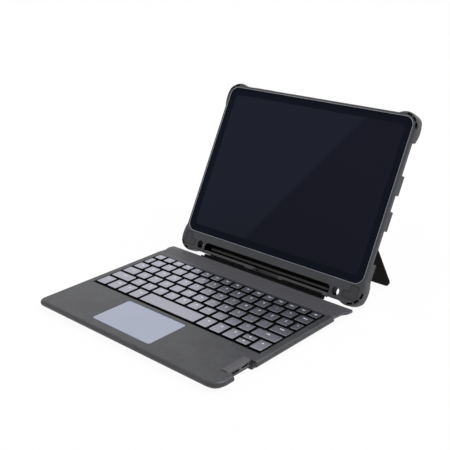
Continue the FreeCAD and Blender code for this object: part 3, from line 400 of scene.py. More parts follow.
def painted_shade_inside(finish):
    """Where shade is painted: 1 in the stylus slot, in three slits round each corner and a band of the face
    beside them, and in the strap holes, 0 elsewhere.
    """
    across = abs(case_place(finish, ACROSS))
    up = case_place(finish, UP_GLASS)
    out = case_place(finish, OUT_OF_GLASS)
    above_slot = up - CHIN_UP * MM
    in_slot = finish.within(abs(above_slot), SLOT_HALF_HEIGHT, EDGE_FADE)
    in_slot = in_slot * finish.within(across, SLOT_HALF_WIDTH, EDGE_FADE)
    in_slot = in_slot * finish.within(out, SLOT_RIM, RIM_FADE)
    corner_x = across - CORNER_ACROSS
    corner_y = abs(up - FRAME_MIDDLE) - CORNER_UP
    off_arc = abs(finish.length(corner_x, corner_y) - SLIT_ARC)
    off_middle = abs(corner_y.apply("ARCTAN2", corner_x) - SLIT_DIRECTION)
    off_slit = off_middle.least(abs(off_middle - SLIT_SPACING))
    in_slit = finish.within(off_arc, SLIT_HALF_WIDTH, EDGE_FADE)
    in_slit = in_slit * finish.within(off_slit, SLIT_HALF_TURN, SLIT_TURN_FADE)
    in_slit = in_slit * finish.beyond(out, SLIT_FLOOR, EDGE_FADE)
    off_hole = finish.length(across - HOLE_ACROSS * MM, above_slot)
    in_hole = finish.within(off_hole, HOLE_RADIUS, HOLE_FADE) * finish.within(out, HOLE_RIM, RIM_FADE)
    return in_slot.most(in_slit).most(in_hole)


def bumper_finish():
    finish = Finish("bumper_rubber")
    black = painted_shade_inside(finish)
    clouds = finish.step(finish.noise(CLOUD_SIZE, OCTAVES), *CLOUD_EDGES)
    pores = finish.noise(BUMPER_PORE, OCTAVES)
    cover = finish.mix(clouds, paint(53, 54, 59), paint(58, 59, 64))
    return finish.feed(
        # painted shade: near black and metallic in the slot, the holes and the slits
        Base_Color=finish.mix(black, cover, paint(9, 8, 6)),
        Metallic=black,
        Roughness=pores * PORE_DULL + (BUMPER_ROUGHNESS - PORE_DULL / 2),
        Normal=finish.bump(pores, BUMPER_RELIEF),
    )


bumper_rubber = bumper_finish()
print("bumper finish has", len(bumper_rubber.node_tree.nodes), "nodes")

# %% [markdown]
# ## Lens and ribbed bars
# Small parts still get a finish of their own: the lens is dark rings round a blue-black eye, and the bars
# beside the finger notch have fine ribs. The bars are painted much lighter than the bumper's grey, a
# painted highlight, and their rib hollows darker, a painted shade. Rings and ribs are sines of a distance.

# %% Small finishes
LENS_RING = 1.4 * MM
LENS_EYE = 3.6 * MM
LENS_FADE = 0.2 * MM
LENS_ROUGHNESS = 0.16
RING_DULL = 0.04
RIB_PITCH = 1.1 * MM
RIB_RELIEF = 0.06 * MM
RAIL_PORE = 0.3 * MM
RAIL_DULL = 0.1
RAIL_ROUGHNESS = 0.60


def lens_finish(centre):
    finish = Finish("camera_lens", Coat_Weight=1.0, Coat_Roughness=0.03)
    offset = finish.away(centre)
    rings = (offset * (2 * math.pi / LENS_RING)).apply("SINE")
    rim = finish.beyond(offset, LENS_EYE, LENS_FADE)
    return finish.feed(
        Base_Color=finish.mix(rim, paint(10, 14, 26), paint(46, 46, 50)),
        Roughness=rings * RING_DULL + LENS_ROUGHNESS,
    )


def rail_finish():
    finish = Finish("rail_ribs", Specular_IOR_Level=0.15)
    ribs = (finish.along(ACROSS) * (2 * math.pi / RIB_PITCH)).apply("SINE") * 0.5 + 0.5
    pores = finish.noise(RAIL_PORE)
    return finish.feed(
        # painted highlight in the light grey, painted shade in the rib hollows
        Base_Color=finish.mix(ribs, paint(86, 86, 89), paint(98, 98, 101)),
        Roughness=pores * RAIL_DULL + (RAIL_ROUGHNESS - RAIL_DULL / 2),
        Normal=finish.bump(ribs, RIB_RELIEF),
    )


lens_low, lens_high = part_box("tablet_camera")
lens_glass = lens_finish((Vector(lens_low) + Vector(lens_high)) / 2)
rail_plastic_painted_light = rail_finish()
print("materials with the small finishes", len(bpy.data.materials))

# %% [markdown]
# ## Dressing the construction model's own pieces
# Pieces whose shape is already right keep their mesh and only take a finish. The bumper, the key caps and
# the hinge strip are made anew further down.

# %% Finishes on the hard pieces
DRESS = {
    soft_cover: ["top_cover"],
    bumper_rubber: ["bumper", "power_button", "volume_up_button", "volume_down_button"],
    pad_rubber: ["corner_pads"],
    foot_rubber: ["kickstand_foot"],
    black_plastic: ["kickstand", "power_switch", "switch_base", "back_panel"],
    tray_plastic: ["base_shell"],
    # the key bed finish paints shade on these
    key_bed: ["key_deck", "dock_strip", "rail_keepers"],
    port_plastic: ["port_block"],
    trackpad_face: ["trackpad"],
    socket_metal: ["usb_socket", "hinge_pins"],
    sheet_metal: ["backing_plate", "dock_magnets"],
    tablet_shell: ["tablet_body"],
    glass: ["tablet_glass"],
    lens_glass: ["tablet_camera"],
    rail_plastic_painted_light: ["lower_rails"],
    light_pipe: ["indicator_lights", "charge_light"],
    thin_film: ["dome_sheet", "switch_membrane"],
    circuit_board: ["control_board", "trackpad_board"],
    cell_wrap: ["battery"],
}
for material, names in DRESS.items():
    for name in names:
        for holder in nodes[name].material_slots:
            holder.material = material
print("dressed", sum(len(names) for names in DRESS.values()), "pieces of the construction model")

# %% [markdown]
# ## The bumper's corners
# The solid's corners stand out two millimetres further than the real ones. A new bumper would repeat all
# its openings, so a copy of its mesh is merged and only what lies outside the straight sides is drawn in.
# Its flat faces are shaded flat: smooth shading would bend the light on the chin towards the slot's round
# ends.

# %% Drawn-in corners
FRAME_HALF = 126.5 * MM
CORNER_SHARE = 0.45
MERGE_GAP = 1e-6
FLAT_MATCH = 0.9995
SHARP_ANGLE = math.radians(28)


def to_mesh(name, shape, *finishes):
    """Turn a bmesh into a mesh with these finishes, and free it."""
    mesh = bpy.data.meshes.new(name)
    shape.to_mesh(mesh)
    shape.free()
    for finish in finishes:
        mesh.materials.append(finish)
    return mesh


def place_piece(name, mesh, body, finish_slot, *replaced):
    """Put a mesh into the scene as a piece that rides a body."""
    piece = bpy.data.objects.new(name, mesh)
    bpy.context.collection.objects.link(piece)
    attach(piece, body)
    if replaced:
        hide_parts(*replaced)


shape = bmesh.new()
shape.from_mesh(nodes["bumper"].data)
bmesh.ops.remove_doubles(shape, verts=shape.verts, dist=MERGE_GAP)
drawn = 0
for vert in shape.verts:
    over = abs(vert.co.x) - FRAME_HALF
    if over > 0:
        vert.co.x = math.copysign(FRAME_HALF + CORNER_SHARE * over, vert.co.x)
        drawn += 1
shape.normal_update()
flat_ways = [Vector(axis) for axis in (ACROSS, UP_GLASS, OUT_OF_GLASS)]
for face in shape.faces:
    face.smooth = max(abs(face.normal.dot(way)) for way in flat_ways) < FLAT_MATCH
mesh = to_mesh("soft_bumper", shape, bumper_rubber)
solid_normals = mesh.attributes.get("custom_normal")
if solid_normals is not None:
    mesh.attributes.remove(solid_normals)
mesh.set_sharp_from_angle(angle=SHARP_ANGLE)
place_piece("soft_bumper", mesh, "case", "bumper_rubber", "bumper")
print("drawn in", drawn, "points of the bumper")

# %% [markdown]
# ## One key cap
# A cap is a low box with round corners, a soft top edge and a slightly dished face. A box with a Bevel
# modifier would come close, but every width would bevel differently, so the cap is lofted from rings:
# each ring is the same rounded rectangle, drawn in a little further and at its own height.

# %% Cap mesh
CAP_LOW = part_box("space_bar")[0][2]
CAP_CORNER = 1.4
CAP_CORNER_LEAST = 0.4
CAP_SHOULDER = 2.25
# how far each ring is drawn in and how high it lies, in millimetres
CAP_RINGS = [
    (0.0, 0.0),
    (0.0, 1.7),
    (0.08, 1.95),
    (0.28, 2.15),
    (0.55, CAP_SHOULDER),
    (0.8, 2.29),
    (2.2, 2.26),
]


def rounded_ring(width, depth, corner, steps=5):
    """Points of a rounded rectangle about the origin, anticlockwise."""
    points = []
    for turn, (side, end) in enumerate(((1, -1), (1, 1), (-1, 1), (-1, -1))):
        for i in range(steps + 1):
            angle = math.radians(90 * turn - 90 + 90 * i / steps)
            x = side * (width / 2 - corner) + corner * math.cos(angle)
            y = end * (depth / 2 - corner) + corner * math.sin(angle)
            points.append((x, y))
    return points


def join_rings(shape, rings):
    """Faces between each ring of points and the next."""
    for first, second in zip(rings, rings[1:]):
        for i in range(len(first)):
            j = (i + 1) % len(first)
            shape.faces.new((first[i], first[j], second[j], second[i]))


def cap_object(width, depth):
    shape = bmesh.new()
    rings = []
    for inset, rise in CAP_RINGS:
        corner = max(CAP_CORNER - inset / 2, CAP_CORNER_LEAST) * MM
        outline = rounded_ring(width - 2 * inset * MM, depth - 2 * inset * MM, corner)
        rings.append([shape.verts.new((x, y, CAP_LOW + rise * MM)) for x, y in outline])
    join_rings(shape, rings)
    shape.faces.new(rings[-1])
    shape.faces.new(rings[0][::-1])
    for face in shape.faces:
        face.smooth = len(face.verts) == 4
    cap = bpy.data.objects.new("cap", to_mesh("cap", shape))
    bpy.context.collection.objects.link(cap)
    return cap


print("a cap is lofted from", len(CAP_RINGS), "rings")

# %% [markdown]
# ## Rows of caps
# Equal caps stand at one pitch, which is what Geometry Nodes are for: a line of points, a cap on each,
# and two finishes, the black side first and the satin top above one level. The tree ends in plain mesh,
# because the caps of a row move together as one piece.

# %% Row tree
def socket_in(tree, name, kind):
    return tree.interface.new_socket(name, in_out="INPUT", socket_type=kind).identifier


def geometry_tree(name):
    tree = bpy.data.node_groups.new(name, "GeometryNodeTree")
    tree.interface.new_socket("Geometry", in_out="OUTPUT", socket_type="NodeSocketGeometry")
    return tree, tree.nodes.new("NodeGroupInput"), tree.nodes.new("NodeGroupOutput")


def mesh_of(name, carrier):
    """The mesh that an object shows, as a mesh of its own. The object goes."""
    bpy.context.collection.objects.link(carrier)
    graph = bpy.context.evaluated_depsgraph_get()
    mesh = bpy.data.meshes.new_from_object(carrier.evaluated_get(graph))
    mesh.name = name
    bpy.data.objects.remove(carrier)
    return mesh


def tree_mesh(name, tree, inputs):
    """Run a tree on an empty object and keep its result."""
    carrier = bpy.data.objects.new("carrier", bpy.data.meshes.new("carrier"))
    modifier = carrier.modifiers.new("tree", "NODES")
    modifier.node_group = tree
    for identifier, value in inputs.items():
        modifier[identifier] = value
    return mesh_of(name, carrier)


row_tree, row_in, row_out = geometry_tree("cap_row")
ROW = {
    "cap": socket_in(row_tree, "Cap", "NodeSocketObject"),
    "count": socket_in(row_tree, "Count", "NodeSocketInt"),
    "pitch": socket_in(row_tree, "Pitch", "NodeSocketVector"),
    "first": socket_in(row_tree, "First cap", "NodeSocketVector"),
    "level": socket_in(row_tree, "Top level", "NodeSocketFloat"),
    "side": socket_in(row_tree, "Side finish", "NodeSocketMaterial"),
    "top": socket_in(row_tree, "Top finish", "NodeSocketMaterial"),
}
line = row_tree.nodes.new("GeometryNodeMeshLine")
info = row_tree.nodes.new("GeometryNodeObjectInfo")
spread = row_tree.nodes.new("GeometryNodeInstanceOnPoints")
realize = row_tree.nodes.new("GeometryNodeRealizeInstances")
position = row_tree.nodes.new("GeometryNodeInputPosition")
height = row_tree.nodes.new("ShaderNodeSeparateXYZ")
above = row_tree.nodes.new("FunctionNodeCompare")
paint_side = row_tree.nodes.new("GeometryNodeSetMaterial")
paint_top = row_tree.nodes.new("GeometryNodeSetMaterial")
for start, end in [
    (row_in.outputs["Count"], line.inputs["Count"]),
    (row_in.outputs["Pitch"], line.inputs["Offset"]),
    (row_in.outputs["First cap"], line.inputs["Start Location"]),
    (row_in.outputs["Cap"], info.inputs["Object"]),
    (line.outputs["Mesh"], spread.inputs["Points"]),
    (info.outputs["Geometry"], spread.inputs["Instance"]),
    (spread.outputs["Instances"], realize.inputs["Geometry"]),
    (realize.outputs["Geometry"], paint_side.inputs["Geometry"]),
    (row_in.outputs["Side finish"], paint_side.inputs["Material"]),
    (paint_side.outputs["Geometry"], paint_top.inputs["Geometry"]),
    (row_in.outputs["Top finish"], paint_top.inputs["Material"]),
    (position.outputs["Position"], height.inputs["Vector"]),
    (height.outputs["Z"], above.inputs[0]),
    (row_in.outputs["Top level"], above.inputs[1]),
    (above.outputs["Result"], paint_top.inputs["Selection"]),
    (paint_top.outputs["Geometry"], row_out.inputs["Geometry"]),
]:
    row_tree.links.new(start, end)
print("row tree has", len(row_tree.nodes), "nodes")

# %% [markdown]
# ## The key field
# Each row of the construction model is one node. Its box gives the row's ends and depth, and its legends
# tell how many caps share that width, with the same gap between any two. The legends are the common ones of
# any keyboard, the space bar's is blank, and an arrow key has a triangle instead.

# %% Key rows and caps
KEY_GAP = 2.7 * MM
LEGENDS = {
    "function_keys": ["esc", *(f"F{i}" for i in range(1, 13)), "prt", "ins", "del"],
    "grave_key": ["`"],
    "number_keys": list("1234567890-="),
    "backspace_key": ["back"],
    "tab_key": ["tab"],
    "upper_letter_keys": list("QWERTYUIOP[]"),
    "backslash_key": ["\\"],
    "caps_key": ["caps"],
    "home_letter_keys": list("ASDFGHJKL;'"),
    "enter_key": ["enter"],
    "left_shift_key": ["shift"],
    "lower_letter_keys": list("ZXCVBNM,./"),
    "right_shift_key": ["shift"],
    "left_modifier_keys": ["fn", "ctrl", "alt", "sym"],
    "space_bar": [""],
    "right_modifier_keys": ["alt", "ctrl"],
}
ARROWS = {"left_arrow_key": 90, "up_arrow_key": 0, "down_arrow_key": 180, "right_arrow_key": -90}
KEY_ROWS = [*LEGENDS, *ARROWS]


def cap_count(name):
    return len(LEGENDS[name]) if name in LEGENDS else 1


def key_row(name):
    """Middle of a row's first cap, and the width and depth of its caps."""
    low, high = (Vector(corner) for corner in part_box(name))
    count = cap_count(name)
    width = (high.x - low.x - (count - 1) * KEY_GAP) / count
    return Vector((low.x + width / 2, (low.y + high.y) / 2, 0.0)), width, high.y - low.y


def body_of_keys(name):
    """The body that a key node rides on has the same first words."""
    if name == "space_bar":
        return "space_cap"
    return name.replace("_keys", "_row") if name.endswith("_keys") else name.replace("_key", "_cap")


for name in KEY_ROWS:
    first, width, depth = key_row(name)
    cap = cap_object(width, depth)
    values = {
        ROW["cap"]: cap,
        ROW["count"]: cap_count(name),
        ROW["pitch"]: (width + KEY_GAP, 0.0, 0.0),
        ROW["first"]: first,
        ROW["level"]: CAP_LOW + CAP_SHOULDER * MM,
        # the black sides paint the shade in the gaps between caps
        ROW["side"]: cap_side_painted_shade,
        ROW["top"]: cap_top,
    }
    mesh = tree_mesh(f"{name}_caps", row_tree, values)
    bpy.data.objects.remove(cap)
    place_piece(f"{name}_caps", mesh, body_of_keys(name), "key_cap", name)
print("caps", sum(cap_count(name) for name in KEY_ROWS), "in", len(KEY_ROWS), "pieces")

# %% [markdown]
# ## Legends
# Printed legends are a film of ink. Text objects give the letters. Each becomes a thin closed mesh that is
# sunk into the cap's face by half its thickness, and all the letters of one row are joined into one piece.
# The four arrows are drawn as small triangles.

# %% Legend meshes
LEGEND_RISE = 2.275 * MM
LETTER_TALL = 3.4 * MM
WORD_TALL = 2.6 * MM
INK_SPREAD = 0.06 * MM
INK_HALF = 0.02 * MM
INK_MERGE = 1e-7
LEGEND_SHIFT = 0.28
LEGEND_ROOM = 6 * MM
ARROW_OUTLINE = [(-1.3, -0.8), (1.3, -0.8), (0.0, 1.1)]


def text_mesh(words):
    letters = bpy.data.curves.new("letters", "FONT")
    letters.body = words
    letters.size = LETTER_TALL if len(words) == 1 else WORD_TALL
    letters.align_x = "CENTER"
    letters.align_y = "CENTER"
    letters.resolution_u = 2
    letters.offset = INK_SPREAD
    letters.extrude = INK_HALF
    return mesh_of("letters", bpy.data.objects.new("letters", letters))


def arrow_mesh(turn):
    shape = bmesh.new()
    low = [shape.verts.new((x * MM, y * MM, -INK_HALF)) for x, y in ARROW_OUTLINE]
    high = [shape.verts.new((x * MM, y * MM, INK_HALF)) for x, y in ARROW_OUTLINE]
    shape.faces.new(low[::-1])
    shape.faces.new(high)
    join_rings(shape, [low, high])
    mesh = to_mesh("arrow", shape)
    mesh.transform(Matrix.Rotation(math.radians(turn), 4, "Z"))
    return mesh


def legend_piece(name, marks):
    """Join the marks of one row, each already a mesh, a little behind the middles of their caps."""
    first, width, depth = key_row(name)
    joined = bmesh.new()
    for i, mark in enumerate(marks):
        x = first.x + i * (width + KEY_GAP)
        y = first.y + (depth - LEGEND_ROOM) * LEGEND_SHIFT
        mark.transform(Matrix.Translation((x, y, CAP_LOW + LEGEND_RISE)))
        joined.from_mesh(mark)
    bmesh.ops.remove_doubles(joined, verts=joined.verts, dist=INK_MERGE)
    bmesh.ops.recalc_face_normals(joined, faces=joined.faces)
    for face in joined.faces:
        face.smooth = False
        face.material_index = 0
    mesh = to_mesh(f"{name}_legends", joined, legend_ink)
    place_piece(f"{name}_legends", mesh, body_of_keys(name), "key_cap")


marks_of = {name: [text_mesh(word) for word in words] for name, words in LEGENDS.items() if any(words)}
marks_of.update({name: [arrow_mesh(turn)] for name, turn in ARROWS.items()})
for name, marks in marks_of.items():
    legend_piece(name, marks)
print("legends on", len(marks_of), "key groups")

# %% [markdown]
# ## The hinge strip
# A soft strip joins the keyboard to the case. Its front edge is a round bead in the keyboard's rear groove,
# its rear corners swell into ears, and fine grooves run across it so that it bends evenly. A flat plate
# would look stiff, so the strip is lofted: a closed section at each step from front to rear, as wide and as
# thick as the strip is there.

# %% Hinge strip
# sizes of the strip in millimetres, with distances counted from its crease
STRIP_HALF = 1.3
STRIP_LEAST = 0.05
STRIP_REAR = 28.9
STRIP_FRONT_WIDTH = 125.6
EAR_START = 11.0
EAR_RUN = 10.0
EAR_SWELL = 3.2
EAR_ROUND = 3.5
GROOVE_DEEP = 0.35
GROOVE_HALF = 0.7
GROOVE_SHARE = 0.6
FLAT_INSET = 4.5
QUARTER_STEPS = 6
FRONT_STEPS = [-1.29, -1.2, -1.0, -0.7, -0.35, 0.0]
MIDDLE_STEPS = [0.35 * i for i in range(1, 79)]
REAR_STEPS = [27.75, 28.1, 28.4, 28.65, 28.8, 28.88]


def arc_height(radius, offset):
    """Height of a circle above its diameter, this far from its middle."""
    return math.sqrt(max(radius ** 2 - offset ** 2, 0.0))


def strip_width(v):
    """Half-width of the strip."""
    rise = min(max((v - EAR_START) / EAR_RUN, 0.0), 1.0)
    width = STRIP_FRONT_WIDTH + EAR_SWELL * rise * rise * (3 - 2 * rise)
    over = v - (STRIP_REAR - EAR_ROUND)
    if over > 0:
        width -= EAR_ROUND - arc_height(EAR_ROUND, over)
    return width


def strip_thickness(v):
    """Half-thickness: round bead in front, soft edge behind."""
    if v < 0:
        return arc_height(STRIP_HALF, v)
    over = v - (STRIP_REAR - STRIP_HALF)
    return arc_height(STRIP_HALF, over) if over > 0 else STRIP_HALF


def groove_depth(v):
    nearest = min(abs(v - groove) for groove in GROOVES)
    if nearest >= GROOVE_HALF:
        return 0.0
    return GROOVE_DEEP * math.cos(nearest / GROOVE_HALF * math.pi / 2) ** 2


def strip_section(v):
    """Points round the section at v: over the top from left to right, then back underneath."""
    half = max(strip_thickness(v), STRIP_LEAST)
    wide = strip_width(v)
    sunk = half - min(groove_depth(v), half * GROOVE_SHARE)
    flats = (-wide + FLAT_INSET, -wide * 0.5, 0.0, wide * 0.5, wide - FLAT_INSET)

    def rounding(side, start, count):
        turns = [start - i * math.pi / 2 / QUARTER_STEPS for i in range(count)]
        return [(side * (wide - half) + half * math.cos(a), half * math.sin(a)) for a in turns]

    return [
        *rounding(-1, math.pi, QUARTER_STEPS + 1),
        *((x, sunk) for x in flats),
        *rounding(1, math.pi / 2, 2 * QUARTER_STEPS + 1),
        *((x, -half) for x in flats[::-1]),
        *rounding(-1, -math.pi / 2, QUARTER_STEPS),
    ]


strip_frame = Matrix.Translation(STRIP_START) @ Matrix.Rotation(STRIP_SLOPE, 4, "X")
shape = bmesh.new()
sections = []
for v in FRONT_STEPS + MIDDLE_STEPS + REAR_STEPS:
    places = [strip_frame @ (Vector((x, v, w)) * MM) for x, w in strip_section(v)]
    sections.append([shape.verts.new(place) for place in places])
join_rings(shape, sections)
shape.faces.new(sections[0])
shape.faces.new(sections[-1][::-1])
bmesh.ops.recalc_face_normals(shape, faces=shape.faces)
for face in shape.faces:
    face.smooth = True
mesh = to_mesh("hinge_strip", shape, strip_cover)
hinge_strip = bpy.data.objects.new("hinge_strip", mesh)
bpy.context.collection.objects.link(hinge_strip)
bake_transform(hinge_strip)
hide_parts("hinge_flap")
print("hinge strip", len(mesh.polygons), "faces")

# %% [markdown]
# ## Beads and seams of the case
# A soft moulding never ends in a knife edge: a thin round bead runs along the lip over the glass and round
# the strap holes, and a dark seam surrounds the stepped pads in the lower corners. Each follows a path, so
# a small tree turns a loop of edges into a curve, rounds its corners and sweeps a circle along it.

# %% Bead tree
bead_tree, bead_in, bead_out = geometry_tree("bead")
BEAD = {
    "path": socket_in(bead_tree, "Path", "NodeSocketObject"),
    "corner": socket_in(bead_tree, "Corner", "NodeSocketFloat"),
    "radius": socket_in(bead_tree, "Bead radius", "NodeSocketFloat"),
    "finish": socket_in(bead_tree, "Finish", "NodeSocketMaterial"),
}
BEAD_STEPS = 10
path_info = bead_tree.nodes.new("GeometryNodeObjectInfo")
path_curve = bead_tree.nodes.new("GeometryNodeMeshToCurve")
rounding = bead_tree.nodes.new("GeometryNodeFilletCurve")
rounding.mode = "POLY"
rounding.inputs["Count"].default_value = BEAD_STEPS
section = bead_tree.nodes.new("GeometryNodeCurvePrimitiveCircle")
section.inputs["Resolution"].default_value = BEAD_STEPS
sweep = bead_tree.nodes.new("GeometryNodeCurveToMesh")
smooth = bead_tree.nodes.new("GeometryNodeSetShadeSmooth")
solid = bead_tree.nodes.new("GeometryNodeRealizeInstances")
bead_paint = bead_tree.nodes.new("GeometryNodeSetMaterial")
for start, end in [
    (bead_in.outputs["Path"], path_info.inputs["Object"]),
    (path_info.outputs["Geometry"], path_curve.inputs["Mesh"]),
    (path_curve.outputs["Curve"], rounding.inputs["Curve"]),
    (bead_in.outputs["Corner"], rounding.inputs["Radius"]),
    (bead_in.outputs["Bead radius"], section.inputs["Radius"]),
    (rounding.outputs["Curve"], sweep.inputs["Curve"]),
    (section.outputs["Curve"], sweep.inputs["Profile Curve"]),
    (sweep.outputs["Mesh"], smooth.inputs["Geometry"]),
    (smooth.outputs["Geometry"], solid.inputs["Geometry"]),
    (solid.outputs["Geometry"], bead_paint.inputs["Geometry"]),
    (bead_in.outputs["Finish"], bead_paint.inputs["Material"]),
    (bead_paint.outputs["Geometry"], bead_out.inputs["Geometry"]),
]:
    bead_tree.links.new(start, end)
print("bead tree has", len(bead_tree.nodes), "nodes")

# %% Beads
BEAD_RISE = 0.85
LIP_WIDTH = 247.2
LIP_HEIGHT = 178.1
RING_WIDTH = 9.6
PAD_LEFT, PAD_STEP, PAD_RIGHT = 104.95, 112.55, 122.35
PAD_LOW, PAD_SHELF, PAD_HIGH = -16.8, -9.4, -2.2
SIDES = {"left": -1, "right": 1}


def rectangle(x, up, width, tall):
    """Corners of a rectangle on the case's front, in millimetres."""
    return [(x + i * width / 2, up + j * tall / 2) for i, j in ((-1, -1), (1, -1), (1, 1), (-1, 1))]


def pad_outline(side):
    """Corners of a stepped corner pad, in millimetres."""
    base = [(PAD_LEFT, PAD_LOW), (PAD_RIGHT, PAD_LOW), (PAD_RIGHT, PAD_HIGH)]
    stair = [(PAD_STEP, PAD_HIGH), (PAD_STEP, PAD_SHELF), (PAD_LEFT, PAD_SHELF)]
    return [(side * x, up) for x, up in base + stair]


# name: path, corner radius and bead radius in millimetres, finish and material slot
lip_path = rectangle(0.0, GLASS_MIDDLE, LIP_WIDTH, LIP_HEIGHT)
# The lip bead's pale colour is a painted highlight along its round edge.
BEADS = {"glass_lip_bead": (lip_path, 10.3, 0.4, lip_rubber, "bumper_rubber")}
for word, side in SIDES.items():
    ring_path = rectangle(side * HOLE_ACROSS, CHIN_UP, RING_WIDTH, RING_WIDTH)
    BEADS[f"{word}_strap_ring"] = (ring_path, 4.79, 0.35, bumper_rubber, "bumper_rubber")
for word, side in SIDES.items():
    BEADS[f"{word}_pad_seam"] = (pad_outline(side), 1.6, 0.5, seam_rubber, "foot_rubber")

for name, (points, corner, radius, finish, finish_slot) in BEADS.items():
    loop = bpy.data.meshes.new("loop")
    edges = [(i, (i + 1) % len(points)) for i in range(len(points))]
    loop.from_pydata([(x * MM, up * MM, BEAD_RISE * MM) for x, up in points], edges, [])
    path = bpy.data.objects.new("loop", loop)
    bpy.context.collection.objects.link(path)
    values = {
        BEAD["path"]: path,
        BEAD["corner"]: corner * MM,
        BEAD["radius"]: radius * MM,
        BEAD["finish"]: finish,
    }
    mesh = tree_mesh(name, bead_tree, values)
    bpy.data.objects.remove(path)
    mesh.transform(case_frame)
    place_piece(name, mesh, "case", finish_slot)
print("beads", len(BEADS))

# %% [markdown]
# ## Bars
# Five thin bars finish the edges that moulded parts share. A soft black lip under the chin closes the slit
# behind the tongue. A ledge steps out of the stylus slot's back wall. The palm rest's rim runs a little way
# over the key plate, in front of the keys and beside them. Boxes with a small bevel are enough for these.

# %% Bars
BAR_BEVEL = 0.12 * MM
RIM_LOW, RIM_HIGH = 8.92, 10.38
RIM_OUT, RIM_IN = 118.8, 117.1
RIM_FRONT, RIM_BACK = -19.0, 80.4
FRONT_RIM_LOW, FRONT_RIM_HIGH = -21.2, -18.2
# name: body, low and high corner in millimetres, finish and material slot
# corners on the case are counted across it, up the glass and out of the glass
BARS = {
    "dock_seal": ("case", (-83.5, -22.7, -9.7), (83.5, -21.52, -8.2), seam_rubber, "foot_rubber"),
    "slot_ledge": ("case", (-84.0, -15.7, -7.5), (84.0, -13.3, -6.2), pad_rubber, "bumper_rubber"),
}
for word, low, high in [
    ("front", (-RIM_OUT, FRONT_RIM_LOW), (RIM_OUT, FRONT_RIM_HIGH)),
    ("left", (-RIM_OUT, RIM_FRONT), (-RIM_IN, RIM_BACK)),
    ("right", (RIM_IN, RIM_FRONT), (RIM_OUT, RIM_BACK)),
]:
    BARS[f"{word}_well_rim"] = ("keyboard", (*low, RIM_LOW), (*high, RIM_HIGH), soft_cover, "soft_cover")

for name, (body, low, high, finish, finish_slot) in BARS.items():
    shape = bmesh.new()
    for corner in bmesh.ops.create_cube(shape, size=1.0)["verts"]:
        corner.co = [(low, high)[corner.co[i] > 0][i] * MM for i in range(3)]
    bmesh.ops.bevel(shape, geom=shape.edges[:], offset=BAR_BEVEL, segments=2, affect="EDGES")
    mesh = to_mesh(name, shape, finish)
    if body == "case":
        mesh.transform(case_frame)
    place_piece(name, mesh, body, finish_slot)
print("bars", len(BARS))

# %% [markdown]
# ## Floor, light and camera
# The object stands on a pale floor under a bright even sky with one soft lamp high on the left. The sky is
# white to the eye and to reflections, and plainer as a light, so that a grey renders as it is written. The
# floor shows part of its own light to the eye, which keeps it white and leaves a faint shadow.

# %% Stage
SKY_LIGHT = 0.42
SKY_SEEN = 1.0
WHITE = (1.0, 1.0, 1.0, 1.0)
FLOOR_TONE = (0.9, 0.9, 0.9, 1.0)
FLOOR_GLOW = 0.95
FLOOR_HALF = 6.0
FLOOR_LEVEL = -0.2 * MM
LAMP_ENERGY = 2.1
LAMP_ANGLE = math.radians(50)
LAMP_TURN = (math.radians(-12), math.radians(20), 0)
scene = bpy.context.scene
scene.view_settings.view_transform = "Standard"


def seen_rays(tree):
    """1 for rays from the eye, a reflection or clear glass, 0 for light on its way."""
    path = tree.nodes.new("ShaderNodeLightPath")
    total = path.outputs["Is Camera Ray"]
    for name in ("Is Glossy Ray", "Is Transmission Ray"):
        either = tree.nodes.new("ShaderNodeMath")
        either.operation = "MAXIMUM"
        tree.links.new(total, either.inputs[0])
        tree.links.new(path.outputs[name], either.inputs[1])
        total = either.outputs[0]
    return total


world = bpy.data.worlds.new("studio")
scene.world = world
world.use_nodes = True
sky = world.node_tree
backdrop = sky.nodes["Background"]
level = sky.nodes.new("ShaderNodeMapRange")
level.inputs["To Min"].default_value = SKY_LIGHT
level.inputs["To Max"].default_value = SKY_SEEN
sky.links.new(seen_rays(sky), level.inputs["Value"])
sky.links.new(level.outputs[0], backdrop.inputs["Strength"])
backdrop.inputs["Color"].default_value = WHITE

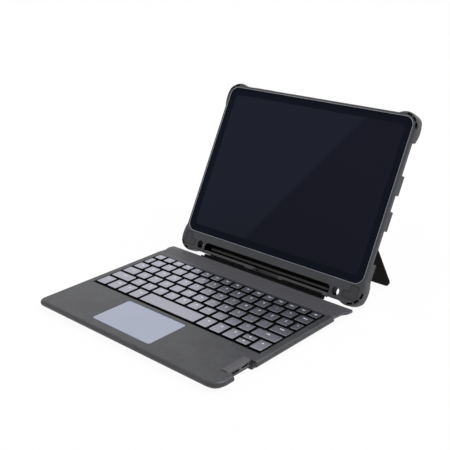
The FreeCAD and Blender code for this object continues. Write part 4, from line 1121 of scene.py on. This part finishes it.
floor_finish = bpy.data.materials.new("pale_floor")
floor_finish.use_nodes = True
tree = floor_finish.node_tree
tree.nodes.remove(tree.nodes["Principled BSDF"])
matt = tree.nodes.new("ShaderNodeBsdfDiffuse")
matt.inputs["Color"].default_value = FLOOR_TONE
glow = tree.nodes.new("ShaderNodeEmission")
share = tree.nodes.new("ShaderNodeMath")
share.operation = "MULTIPLY"
share.inputs[1].default_value = FLOOR_GLOW
blend = tree.nodes.new("ShaderNodeMixShader")
tree.links.new(seen_rays(tree), share.inputs[0])
tree.links.new(share.outputs[0], blend.inputs[0])
tree.links.new(matt.outputs[0], blend.inputs[1])
tree.links.new(glow.outputs[0], blend.inputs[2])
tree.links.new(blend.outputs[0], tree.nodes["Material Output"].inputs["Surface"])

floor_mesh = bpy.data.meshes.new("floor")
corners = [(i * FLOOR_HALF, j * FLOOR_HALF, FLOOR_LEVEL) for i, j in ((-1, -1), (1, -1), (1, 1), (-1, 1))]
floor_mesh.from_pydata(corners, [], [(0, 1, 2, 3)])
floor_mesh.materials.append(floor_finish)
floor = bpy.data.objects.new("floor", floor_mesh)
scene.collection.objects.link(floor)

lamp = bpy.data.lights.new("soft_lamp", "SUN")
lamp.energy = LAMP_ENERGY
lamp.angle = LAMP_ANGLE
lamp_holder = bpy.data.objects.new("soft_lamp", lamp)
lamp_holder.rotation_euler = LAMP_TURN
scene.collection.objects.link(lamp_holder)
print("floor, sky and one lamp")

# %% [markdown]
# ## Camera
# The photograph looks at the case from the right and a little above. Turn, height and focal length were
# found by matching corners of the keyboard and the tablet.

# %% Camera
TURN = math.radians(42.99)
HEIGHT = math.radians(20.90)
ROLL = math.radians(0.83)
EYE_PLACE = Vector((540.0, -514.5, 382.4)) * MM
EYE_LENS = 66.48
EYE_SENSOR = 36.0
back = Vector((math.sin(TURN) * math.cos(HEIGHT), -math.cos(TURN) * math.cos(HEIGHT), math.sin(HEIGHT)))
level_right = (-back).cross(Vector((0, 0, 1))).normalized()
level_down = (-back).cross(level_right)
right = math.cos(ROLL) * level_right + math.sin(ROLL) * level_down
down = -math.sin(ROLL) * level_right + math.cos(ROLL) * level_down
eye = bpy.data.cameras.new("camera")
eye.lens = EYE_LENS
eye.sensor_width = EYE_SENSOR
camera = bpy.data.objects.new("camera", eye)
axes = Matrix((right, -down, back)).transposed()
camera.matrix_world = Matrix.Translation(EYE_PLACE) @ axes.to_4x4()
scene.collection.objects.link(camera)
scene.camera = camera
print("camera", round(EYE_PLACE.length, 3), "m from the origin")
